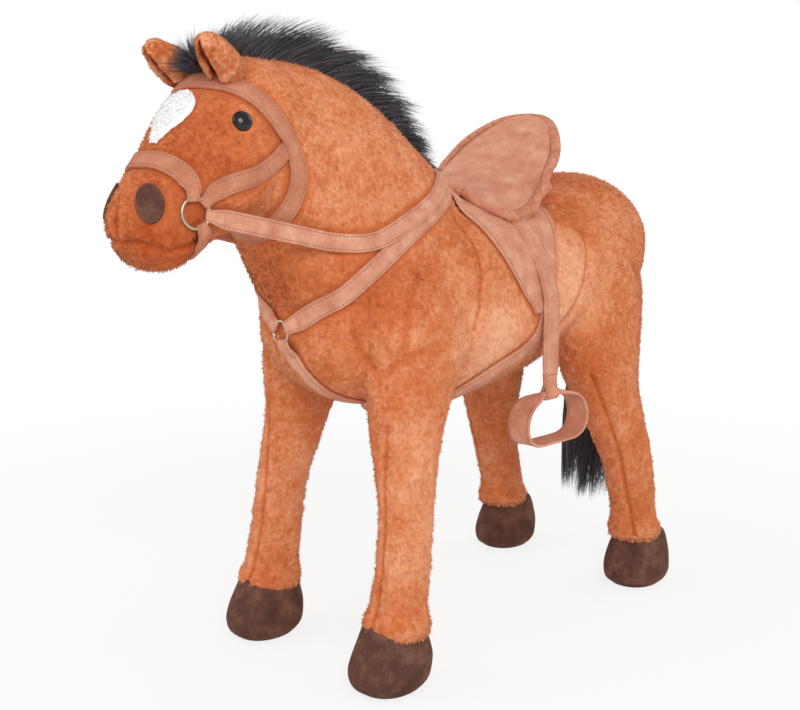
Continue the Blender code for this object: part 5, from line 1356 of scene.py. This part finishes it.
def makeMane():
    # strands rooted along the crest: each rises along up, leans out by its place across and back towards the withers,
    # and bends further the nearer its tip
    rng = np.random.default_rng(11)
    spots, ups = crestLine()
    rows = smoothRows(np.hstack([spots, ups, maneRows]), 200)
    count, steps = hairLook["maneCount"], 5
    place = np.sort(rng.uniform(0, 199, count))
    low = place.astype(int).clip(0, 198)
    at = rows[low] + (rows[low + 1] - rows[low]) * (place - low)[:, None]
    back = unit(rows[low, :3] - rows[low + 1, :3])
    up = unit(at[:, 3:6])
    across = rng.uniform(-1, 1, count)
    lock = np.stack([np.sin(place / 199 * 61 + 2.1 * across), np.cos(place / 199 * 43 - 1.7 * across)], 1)
    root = at[:, :3] + sideAxis * (across * hairLook["maneHalf"] * at[:, 6])[:, None]
    settled = np.array([skin.find_nearest(Vector(p))[0] for p in root])
    root = settled - up * hairLook["maneSink"]
    tall = hairLook["maneHeight"] * at[:, 7] * rng.uniform(0.45, 1.12, count) * (1 - 0.20 * np.abs(across))
    tall = tall + hairLook["maneSink"]
    t = np.linspace(0, 1, steps)[None, :, None]
    sideways = sideAxis * (0.42 * across + 0.10 * lock[:, 0] + rng.normal(0, 0.07, count))[:, None]
    forward = np.clip((place - 165) / 34, 0, 1)
    lean = back * ((0.92 + 0.22 * lock[:, 1]) * (1 - 1.45 * forward) + rng.normal(0, 0.16, count))[:, None]
    paths = root[:, None] + tall[:, None, None] * (
        up[:, None] * (0.95 * t - 0.24 * t * t) + (sideways + lean)[:, None] * (0.40 * t + 0.50 * t * t))
    taper = (1.15 - 0.85 * np.linspace(0, 1, steps))[None]
    radii = hairLook["maneRadius"] * taper * rng.uniform(0.7, 1.3, count)[:, None]
    strands = strandMesh("maneHair", paths, radii, rng.uniform(0, 1, count))
    spot, half, tallest = rows[:, :3], rows[:, 6] * hairLook["maneHalf"], rows[:, 7] * hairLook["maneHeight"]
    up = unit(rows[:, 3:6])
    turn = np.linspace(0, 2 * math.pi, 24, endpoint=False)
    c, s = np.cos(turn), np.sin(turn)
    rise = np.where(s > 0, 0.42 * s, 0.0)[None] * tallest[:, None] + np.where(s > 0, 0.0, s)[None] * 0.006
    reach = 0.85 * half[:, None] * c * (1 - 0.25 * np.maximum(s, 0))
    rings = spot[:, None] + sideAxis * reach[..., None] + up[:, None] * rise[..., None]
    core = loftMesh("maneBacking", rings[::3])
    return strands, core


tailForm = {
    "length": 0.360, "depth": 0.054, "width": 0.060, "rows": [
        # down, aft, half depth, half width
        (-0.040, 0.00, 0.06, 0.06), (-0.036, 0.00, 0.16, 0.15), (-0.010, 0.00, 0.26, 0.24), (0.05, 0.02, 0.27, 0.25),
        (0.12, 0.06, 0.36, 0.40), (0.25, -0.04, 0.44, 0.60), (0.45, -0.38, 0.50, 0.76), (0.65, -0.66, 0.52, 0.80),
        (0.83, -0.80, 0.48, 0.78), (0.95, -0.90, 0.44, 0.74), (1.00, -0.96, 0.40, 0.70),
    ],
}


def makeTail():
    # a hank: each strand starts at its own place in the cross section and draws towards its lock's place as it falls
    root = jointAt["tail"][0]
    rng = np.random.default_rng(5)
    steps = 12
    rows = smoothRows(tailForm["rows"], 120)
    count, locks = hairLook["tailCount"], hairLook["tailLocks"]
    lock = rng.integers(0, locks, count)
    end = rng.uniform(0.76, 1.0, locks)[lock] * rng.uniform(0.78, 1.0, count) ** 0.7
    start = rng.uniform(0.0, 0.10, count)
    place = start[:, None] + (end - start)[:, None] * np.linspace(0, 1, steps)[None]
    at = np.stack([np.interp(place, np.linspace(0, 1, 120), rows[:, k]) for k in range(4)], -1)
    turn, reach = rng.uniform(0, 2 * math.pi, locks)[lock], np.sqrt(rng.uniform(0.12, 1.0, locks))[lock]
    goal = np.stack([np.cos(turn), np.sin(turn)], 1) * reach[:, None]
    own = goal + rng.normal(0, 0.24, (count, 2))
    own = own / np.maximum(np.linalg.norm(own, axis=1, keepdims=True), 1)
    gather = np.clip((place - 0.35) / 0.6, 0, 1)[..., None] ** 1.4 * 0.80
    flat = own[:, None] * (1 - gather) + goal[:, None] * gather
    weave = np.stack([np.sin(place * 9 + lock[:, None]), np.cos(place * 11 + 2.3 * lock[:, None])], -1) * 0.09
    flat = flat + weave * place[..., None]
    side = flat[..., 0] * at[..., 3] * tailForm["width"]
    aft = at[..., 1] * tailForm["depth"] + flat[..., 1] * at[..., 2] * tailForm["depth"]
    down = at[..., 0] * tailForm["length"]
    paths = root + sideAxis * side[..., None] + aftAxis * aft[..., None] - upAxis * down[..., None]
    taper = (1.2 - 0.9 * np.linspace(0, 1, steps) ** 2)[None]
    radii = hairLook["tailRadius"] * taper * rng.uniform(0.7, 1.3, count)[:, None]
    strands = strandMesh("tailHair", paths, radii, rng.uniform(0, 1, count))
    spots = root + aftAxis * (rows[:, 1:2] * tailForm["depth"]) - upAxis * (rows[:, :1] * tailForm["length"])
    keep = slice(2, 84)
    rings = superRing(spots[keep], sideAxis, aftAxis, rows[keep, 3] * tailForm["width"] * 0.80,
                      rows[keep, 2] * tailForm["depth"] * 0.80, 2.0, 28)
    return strands, loftMesh("tailCore", rings)


def hairMaterial(name, look):
    # long acrylic pile, drawn as strands: near black, each a little different, with a soft streak of light along it
    made, tree = newMaterial(name)
    tone = addNode(tree, "Attribute", attribute_name="tone")
    ramp = addNode(tree, "ValToRGB", {"Fac": tone.outputs["Fac"]})
    colour = setRamp(ramp, [(0.0, look["root"]), (1.0, look["tip"])])
    shader = addNode(tree, "BsdfPrincipled", {
        "Base Color": colour, "Roughness": 0.42, "IOR": 1.5, "Specular IOR Level": 0.55,
    })
    finishMaterial(tree, shader.outputs[0])
    return made


seatForm = {
    "front": (0.407, 0.0, 1.0), "length": 0.195, "width": 0.150, "cantle": 0.098, "rim": 0.010, "sink": 0.072,
    "binding": 0.0058,
    "puff": 0.0030, "puffEdge": 0.16, "dimple": 0.06, "dimpleWidth": 0.045,  # swelling of the panel, and its stitched edge
    "pull": 0.0010, "pullCell": 0.030,  # unevenness of the panel, and metres across it
    "gap": 0.0006, "padLeast": 0.0072, "thickLeast": 0.0066,  # room over what it rests on, and the thinnest pad
    "bindingStep": 0.0012, "gatherCell": 0.0052, "gather": 0.07, "sagCell": 0.019, "sag": 0.16, "rows": [
        # along, reach left, reach right, rise left, rise middle, rise right, depth
        (0.000, 0.190, 0.067, -0.10, 0.00, 0.02, 0.22), (0.077, 0.420, 0.200, -0.36, 0.02, 0.10, 0.30),
        (0.230, 0.505, 0.280, -0.33, 0.10, 0.22, 0.40), (0.385, 0.515, 0.333, -0.18, 0.20, 0.40, 0.55),
        (0.487, 0.500, 0.360, -0.03, 0.28, 0.52, 0.70), (0.590, 0.470, 0.367, 0.22, 0.38, 0.65, 0.85),
        (0.710, 0.415, 0.347, 0.49, 0.56, 0.78, 1.00), (0.815, 0.300, 0.280, 0.71, 0.76, 0.89, 0.90),
        (0.895, 0.167, 0.167, 0.86, 0.89, 0.95, 0.48), (0.935, 0.033, 0.033, 0.93, 0.94, 0.95, 0.14),
    ],
}


def seatTop(rows, u):
    # across each row: side = u * reach, rise = middle + tilt * u + dish * u^2
    along, left, right, riseLeft, riseMiddle, riseRight, depth = rows.T[:, :, None]
    u = u[None, :]
    tilt, dish = (riseLeft - riseRight) / 2, (riseLeft + riseRight) / 2 - riseMiddle
    side = u * np.where(u > 0, left, right) * seatForm["width"]
    rise = (riseMiddle + tilt * u + dish * u * u) * seatForm["cantle"]
    aft = along * seatForm["length"] * np.ones_like(u)
    return bodyPoint(*seatForm["front"]) + sideAxis * side[..., None] + aftAxis * aft[..., None] + upAxis * rise[..., None]


def groundUnder(points, over):
    # the highest thing below each point: the tack laid there, or else the coat
    tree = treeOf(over)
    level = np.full(len(points), -1.0)
    for k, point in enumerate(points):
        start = Vector((point[0], point[1], 0.75))
        for hit in (tree.ray_cast(start, Vector((0, 0, -1))), skin.ray_cast(start, Vector((0, 0, -1)))):
            if hit[0] is not None:
                level[k] = max(level[k], hit[0].z)
    return level


def makeSeat(over):
    # a stuffed pad under a smooth panel: the top puffs between its stitched edges, the underside bellies down as far
    # as what it rests on
    rows = smoothRows(seatForm["rows"], 90)
    u = np.sin(np.linspace(1, -1, 57) * math.pi / 2)
    top = seatTop(rows, u)
    ease = np.clip(1 - np.abs(u), 0, 1)[None, :]
    ends = np.clip(np.minimum(rows[:, 0], 1 - rows[:, 0]) / 0.10, 0, 1)[:, None]
    stitched = np.exp(-((ease - seatForm["dimple"]) / seatForm["dimpleWidth"]) ** 2)
    puff = seatForm["puff"] * (1 - np.exp(-ease / seatForm["puffEdge"]) - stitched) * ends
    pull = latticeNoise(top.reshape(-1, 3) * [1, 1, 0.6], seatForm["pullCell"], 31)
    pull = pull.reshape(puff.shape) * seatForm["pull"]
    lift = puff + pull * ends
    thick = seatForm["rim"] + np.maximum(rows[:, 6:7] * seatForm["sink"] - seatForm["rim"], 0) * (1 - u * u)[None]
    level = groundUnder(top.reshape(-1, 3), over).reshape(thick.shape)
    rest = np.maximum(level + seatForm["gap"] + seatForm["padLeast"] - top[..., 2], 0)
    for turn in range(12):
        rest = np.maximum(evenOut(rest, 2), rest * 0.98)
        rest = np.maximum(evenOut(rest.T, 2).T, rest * 0.98)
    top = top + upAxis * rest[..., None]
    thick = np.minimum(thick, np.maximum(top[..., 2] - level - seatForm["gap"], seatForm["thickLeast"]))
    under = top - upAxis * thick[..., None]
    tangent = unit(np.gradient(top, axis=1))
    run = unit(np.gradient(top, axis=0))
    normal = unit(np.cross(run, tangent))
    normal = normal * np.sign(normal[..., 2:3] + 1e-9)
    top = top + normal * lift[..., None]
    rings = np.concatenate([top, under[:, ::-1]], 1)
    seat = loftMesh("saddleSeat", rings)
    rim = np.vstack([top[:, 0], top[::-1, -1]])
    before = unit(np.cross(rim - np.roll(rim, 1, 0), upAxis))
    after = unit(np.cross(np.roll(rim, -1, 0) - rim, upAxis))
    out = unit(before + after)
    path = rim + out * 0.0016 - upAxis * 0.0012
    path = evenPath(path[::4], seatForm["bindingStep"], True)
    path = evenOut(path, 8, True)
    along = unit(np.roll(path, -1, 0) - np.roll(path, 1, 0))
    aside = unit(np.cross(along, upAxis))
    lift = np.cross(aside, along)
    turn = np.linspace(0, 2 * math.pi, 20, endpoint=False)
    reach = np.arange(len(path))[:, None] * seatForm["bindingStep"] * [1, 0, 0]
    low = np.clip((bodyPoint(0, 0, 1.02)[2] + 0.030 - path[:, 2:3]) / 0.02, 0, 1)
    gather = latticeNoise(reach, seatForm["gatherCell"], 17)[:, None]
    sag = latticeNoise(reach, seatForm["sagCell"], 19)[:, None]
    near = np.clip((path[:, :1] + 0.030) / 0.045, 0, 1)  # fuller on the left, where the panel hangs lower
    folds = 1 + seatForm["gather"] * gather * (0.3 + low) + seatForm["sag"] * sag * low
    radius = seatForm["binding"] * (0.72 + 0.30 * near) * folds
    path = path + aside * (sag * low * 0.0042) - upAxis * (np.roll(sag, 9, 0) * low * 0.0032 + low * 0.0012)
    binding = loftMesh("seatBinding", path[:, None] + radius[..., None] * roundAxes(aside, lift, turn), True)
    seams = []
    for share in (0.905, -0.905):
        k = int(np.abs(u - share).argmin())
        line = top[4:-4, k]
        seams.append((line, unit(np.gradient(line, axis=0)), normal[4:-4, k]))
    return seat, binding, seams


stirrupForm = {
    "length": 0.116, "height": 0.060, "bandWidth": 0.030, "bandThickness": 0.0032, "roll": 0.0036, "play": 0.0010,
    "inset": 0.0030,  # from the band's edge to its stitches
    "tail": 0.026,  # how far the strap comes back up behind itself
    "rows": [
        # aft, height, band, roll
        (0.00, 0.94, 0, 1), (0.10, 0.94, 0, 1), (0.20, 0.925, 0.50, 0.38), (0.30, 0.88, 1, 0), (0.40, 0.76, 1, 0),
        (0.465, 0.56, 1, 0), (0.47, 0.34, 1, 0), (0.42, 0.15, 1, 0), (0.30, 0.045, 1, 0), (0.15, 0.03, 1, 0),
        (0.00, 0.03, 1, 0),
    ],
}


def makeStirrup(side, roll):
    # a closed band: rings across it, wide and thin below, small and round where it is rolled under the strap
    half = smoothRows(stirrupForm["rows"], 72)
    mirrored = half[-2:0:-1] * [-1, 1, 1, 1]
    rows = np.vstack([half, mirrored])
    top = stirrupForm["rows"][0][1]
    aft, rise = rows[:, :1] * stirrupForm["length"], (rows[:, 1:2] - top) * stirrupForm["height"]
    spots = roll + aftAxis * aft + upAxis * rise
    along = unit(np.roll(spots, -1, 0) - np.roll(spots, 1, 0))
    out = unit(np.cross(sideAxis, along))
    wide, rolled = np.clip(rows[:, 2], 0, 1), np.clip(rows[:, 3], 0, 1)
    halfWidth = stirrupForm["roll"] + (stirrupForm["bandWidth"] / 2 - stirrupForm["roll"]) * wide
    halfBand = stirrupForm["bandThickness"] / 2
    thick = halfBand + (stirrupForm["roll"] - halfBand) * rolled
    band = loftMesh("stirrup" + side, superRing(spots, sideAxis, out, halfWidth, thick, 2 + 4 * wide, 36), True)
    keep = slice(16, len(rows) - 16)
    seams = []
    for share in (1, -1):
        for face in (1, -1):
            across, over = share * (halfWidth - stirrupForm["inset"]), face * thick * 0.97
            line = spots + sideAxis * across[:, None] + out * over[:, None]
            seams.append((line[keep], along[keep], (out * face)[keep]))
    return band, seams


def makeStirrupStrap(side, way, over):
    # laid over the flap down to its pivot, then straight down, round the stirrup's roll and back up behind itself
    pivot, roll = jointAt["stirrup_strap_" + side.lower()][0], jointAt["stirrup_" + side.lower()][0]
    out = sideAxis * way
    guides = flank(onBody("stirrup"), way) + [pivot]
    path, normals, half, heights = strapLine(guides, strapWidth["stirrup"], treeOf(over), free=(len(guides) - 1,))
    wrap = stirrupForm["roll"] + stirrupForm["play"]
    step = strapLook["step"]
    drop = pivot[2] - roll[2]
    down = np.arange(step, drop, step)
    shift = wrap * np.clip(1 - (drop - down) / 0.014, 0, 1) ** 2
    hang = pivot - upAxis * down[:, None] + out * shift[:, None]
    v = np.linspace(0, math.pi, 15)[1:]
    loop = roll + wrap * (out * np.cos(v)[:, None] - upAxis * np.sin(v)[:, None])
    rise = np.arange(step, stirrupForm["tail"], step)
    shift = wrap * np.clip(1 - rise / 0.014, 0, 1) ** 2
    back = roll + upAxis * rise[:, None] - out * shift[:, None]
    added = np.vstack([hang, loop, back])
    face = np.vstack([np.tile(out, (len(hang), 1)), out * np.cos(v)[:, None] - upAxis * np.sin(v)[:, None],
                      np.tile(-out, (len(back), 1))])
    count = len(added)
    path = np.vstack([path[:-1], added])
    normals = np.vstack([normals[:-1], face])
    first = len(normals) - count
    ease = slice(max(first - 14, 0), first + 4)
    normals[ease] = unit(evenOut(normals[ease], 40))
    pinch = np.clip((np.linalg.norm(path - roll, axis=1) - 0.012) / 0.024, 0, 1)
    half = strapWidth["stirrup"] / 2 * (0.78 + 0.22 * smoothStep(pinch))
    heights = np.vstack([heights[:-1], np.zeros((count, heights.shape[1]))])
    path[:first + 6] = evenOut(path[:first + 6], 6)
    piece, seams, (path, aside, half, normals) = ribbonMesh("stirrupStrap" + side, path, normals, half, heights, strapLook)
    end = len(hang) + first
    seams = [(line[:end], along[:end], up[:end]) for line, along, up in seams]
    spot = roll + upAxis * (stirrupForm["tail"] - 0.004) + out * strapLook["thickness"]
    line = spot + aftAxis * np.linspace(-0.0100, 0.0100, 12)[:, None]
    seams.append((line, np.tile(aftAxis, (12, 1)), np.tile(out, (12, 1))))
    return piece, seams, pivot


def makeCuff(name, form, way):
    # a ragged edge of pile round the bottom of a leg, combed down over the hoof
    rng = np.random.default_rng(3)
    count, steps = 1100, 4
    foot = footSpot(form, way)
    turn = rng.uniform(0, 2 * math.pi, count)
    height = form["rows"][-1][0] * form["height"] + rng.uniform(0.001, 0.008, count)
    out = sideAxis * np.cos(turn)[:, None] + aftAxis * np.sin(turn)[:, None]
    probe = foot + upAxis * height[:, None] + aftAxis * (form["rows"][-1][1] * form["depth"])
    hits = [skin.ray_cast(Vector(p + o * 0.09), Vector(-o), 0.09) for p, o in zip(probe, out)]
    good = np.array([hit[0] is not None for hit in hits])
    root = np.array([hit[0] for hit in hits if hit[0] is not None])
    out = out[good]
    count = len(root)
    tall = rng.uniform(0.003, 0.0065, count)
    t = np.linspace(0, 1, steps)[None, :, None]
    stray = rng.normal(0, 0.22, (count, 3)) * [1, 1, 0.3]
    paths = root[:, None] - out[:, None] * 0.0015 + tall[:, None, None] * (
        -upAxis * (0.70 * t + 0.20 * t * t) + out[:, None] * (0.62 * t - 0.40 * t * t) + stray[:, None] * t * t)
    radii = 0.0011 * (1.2 - np.linspace(0, 1, steps))[None] * rng.uniform(0.7, 1.2, count)[:, None]
    return strandMesh("cuff" + name, paths, radii, rng.uniform(0.3, 1, count), "nap")


forms = collectForms()
skinMesh, skinPoints, skinOwner, formNames = shapeCoat(forms)
lumps = latticeNoise(skinPoints, coatShape["lumpCell"], 3) * coatShape["lump"]  # the stuffing is never quite even
skinPoints = skinPoints + readNormals(skinMesh) * lumps[:, None]
setPoints(skinMesh, skinPoints)
skin = BVHTree.FromPolygons([tuple(p) for p in skinPoints], [tuple(f.vertices) for f in skinMesh.polygons])
print("skin is shaped")

tack, tackSeams, rings = layTack()
suede = suedeMaterial("brushedSuede", suedeLook)
# twisted polyester thread: dull, and a shade darker than the suede, so that each dash shows
thread = plainMaterial("sewingThread", suedeLook["thread"], 0.7, grain=0.0008)
tackNodes = {
    "noseband": "noseband", "chinStrap": "chin_strap", "cheekStrapLeft": "cheek_strap_left",
    "cheekStrapRight": "cheek_strap_right", "browThroatStrap": "brow_throat_strap", "breastStrapLeft": "breast_strap_left",
    "breastStrapRight": "breast_strap_right", "bellyStrap": "belly_strap", "girth": "girth",
    "saddleFlapLeft": "saddle_flap_left", "saddleFlapRight": "saddle_flap_right", "reinLeft": "rein_left",
    "reinRight": "rein_right",
}
# a darker copy of the suede for the bridle: painted shade for its place on the head
shadedBridleSuede = suedeMaterial("shadedBridleSuede", dict(suedeLook, base="#BC7A60", worn="#CF9074", dark="#A86850"))
for name, piece in tack.items():
    onBridle = name.startswith(("noseband", "chin", "cheek", "brow"))
    dress(piece, shadedBridleSuede if onBridle else suede, nodes=(tackNodes[name],))
    dress(stitchMesh(name + "Stitches", tackSeams[name]), thread)
for side, tail, way in sides:
    flap = tack["saddleFlap" + side]
    print(flap.name, "area", round(faceArea(flap) / 2, 5))
    faceArea(flap) / 2
# drawn wire, bent and plated: smooth metal with narrow bright streaks along each ring
nickel = plainMaterial("platedWire", "#C9BBA0", 0.28, 1.0)
for child, (centre, axis, radius) in rings.items():
    dress(ringMesh(child.replace("_", "-"), centre, axis, radius), nickel, child, (child,))
print("tack is laid")

brown = suedeMaterial("brownSuede", dict(suedeLook, base="#5B3C32", worn="#80594A", dark="#432B24"))
# moulded rubber: dull, darker than the hoof above it
soleBrown = plainMaterial("soleRubber", "#3A2A23", 0.8, grain=0.002, depth=0.0002)
edgeSuede = suedeMaterial("foldedSuede", dict(suedeLook, base="#C48066", worn="#D69C84", dark="#A9664E", blotch=0.009))
# moulded and polished acrylic: nearly black, with one crisp spot of light
gloss = plainMaterial("blackGloss", "#0D0A0A", 0.04, grain=0.02, depth=0.00002, shade=0.9)
hair = hairMaterial("blackPile", hairLook)
# galvanised steel tube: grey metal with soft streaks, and moulded nylon: plain white, half dull
steel = plainMaterial("galvanisedTube", "#8A8C8F", 0.4, 1.0)
white = plainMaterial("whiteNylon", "#DAD8D2", 0.5)
# the white pile glows with painted light
whiteLook = dict(coatLook, deep="#F6F1EE", mid="#FFFEFC", light="#FFFFFF", sheen=0.5, paintedGlow=0.32)
pinkLook = dict(coatLook, deep="#B4523F", mid="#CF6E57", light="#E08C74")
whitePlush, pinkPlush = plushMaterial("whitePlush", whiteLook), plushMaterial("salmonPlush", pinkLook)
plush = plushMaterial("shortPlush", coatLook)

roundEnds = tuple(np.sqrt(1 - np.linspace(-0.985, 0.985, 22) ** 2))  # half widths of an oval patch
for side, tail, way in sides:
    shell, lining = makeEar(side, way)
    dress(shell, plush, nodes=("ear" + tail,))
    root, tip = (headPoint(along, way * across, up) for along, across, up in (earForm["root"], earForm["tip"]))
    dress(tuftsOn(shell, 4200, root - tip, 0.0018, 13, root, tip, (0.4, 0.7)), plush)
    dress(lining, pinkPlush, nodes=("ear_lining" + tail,))
    dress(makeEye(side, way), gloss, nodes=("eye" + tail,))
    guides = flank(onHead("nostril"), way)
    patch, edges = layStrap("nostril" + side, guides, 0.026, None, widths=roundEnds, look=patchLook)
    dress(patch, brown, nodes=("nostril" + tail,))
blazeWidths = (0.22, 0.72, 0.97, 1, 0.96, 0.78, 0.52, 0.32, 0.14)  # from the forehead down
blaze, edges = layStrap("blaze", onHead("blaze"), 0.048, None, widths=blazeWidths, look=patchLook)
raiseNap(blaze, 0.0005, 0.0007)
dress(blaze, whitePlush, nodes=("blaze",))
dress(tuftsOn(blaze, 5200, headAxis, 0.0036, 14, headPoint(0.1, 0, 0), headPoint(0.6, 0, 0), (0.7, 1.0)), whitePlush)
for which, form in (("front", frontLegForm), ("hind", hindLegForm)):
    for side, tail, way in sides:
        name = which.capitalize() + side
        hoof, sole = makeHoof(name, footSpot(form, way))
        dress(hoof, brown, nodes=("hoof_" + which + tail,))
        dress(sole, soleBrown, nodes=("sole_" + which + tail,))
        dress(makeCuff(name, form, way), plush)
strands, core = makeMane()
dress(strands, hair, nodes=("mane",))
addTone(core.data, "tone", np.zeros(len(core.data.vertices)))
dress(core, hair)
strands, core = makeTail()
dress(strands, hair, "tail", ("tail_hair",))
addTone(core.data, "tone", np.zeros(len(core.data.vertices)))
dress(core, hair, "tail")
seat, binding, seams = makeSeat([tack["saddleFlapLeft"], tack["saddleFlapRight"], tack["reinLeft"], tack["reinRight"]])
dress(seat, suede, nodes=("saddle_seat",))
dress(binding, edgeSuede, nodes=("seat_binding",))
dress(stitchMesh("seatStitches", seams), thread)
for side, tail, way in sides:
    piece, seams, pivot = makeStirrupStrap(side, way, [tack["saddleFlap" + side], tack["girth"]])
    threads = stitchMesh("stirrupStrapStitches" + side, seams)
    for part, finish in ((piece, suede), (threads, thread)):
        part.data.materials.append(finish)
        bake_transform(part)
    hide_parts("stirrup_strap_upper" + tail, "stirrup_strap" + tail)
    band, seams = makeStirrup(side, jointAt["stirrup" + tail][0])
    dress(band, suede, "stirrup" + tail, ("stirrup" + tail,))
    dress(stitchMesh("stirrupStitches" + side, seams), thread, "stirrup" + tail)
print("trim, hair and saddle are made")

# the pile's own tone with its painted light and shade, given to the coat and its tufts
coatToneAndShade, coatFree = raisePile(skinMesh, skinPoints)
for piece in makeFuzz(skinMesh, skinOwner, formNames, coatToneAndShade, coatFree):
    dress(piece, plush)
coat = splitCoat(skinMesh, skinOwner, formNames, coatToneAndShade)
coatNodes = {
    "torso": "torso", "neck": "neck", "head": "head", "frontLegLeft": "front_leg_left", "frontLegRight": "front_leg_right",
    "hindLegLeft": "hind_leg_left", "hindLegRight": "hind_leg_right",
}
for name, piece in coat.items():
    dress(piece, plush, nodes=(coatNodes[name],))
    print(piece.name, len(piece.data.polygons))
print("coat is done")

# pressed felt: almost black and quite dull
felt = plainMaterial("darkFelt", "#2A2728", 0.95, grain=0.0012, depth=0.0003)
inside = {
    "front_leg_frame": steel, "hind_leg_frame": steel, "neck_tube": steel, "spine_tube": steel,
    "eye_washer_left": white, "eye_washer_right": white, "tail_dock": felt,
}
for name, finish in inside.items():
    inner = frame["nodes"][name].data
    inner.materials.clear()
    inner.materials.append(finish)
print("inner frame is finished")
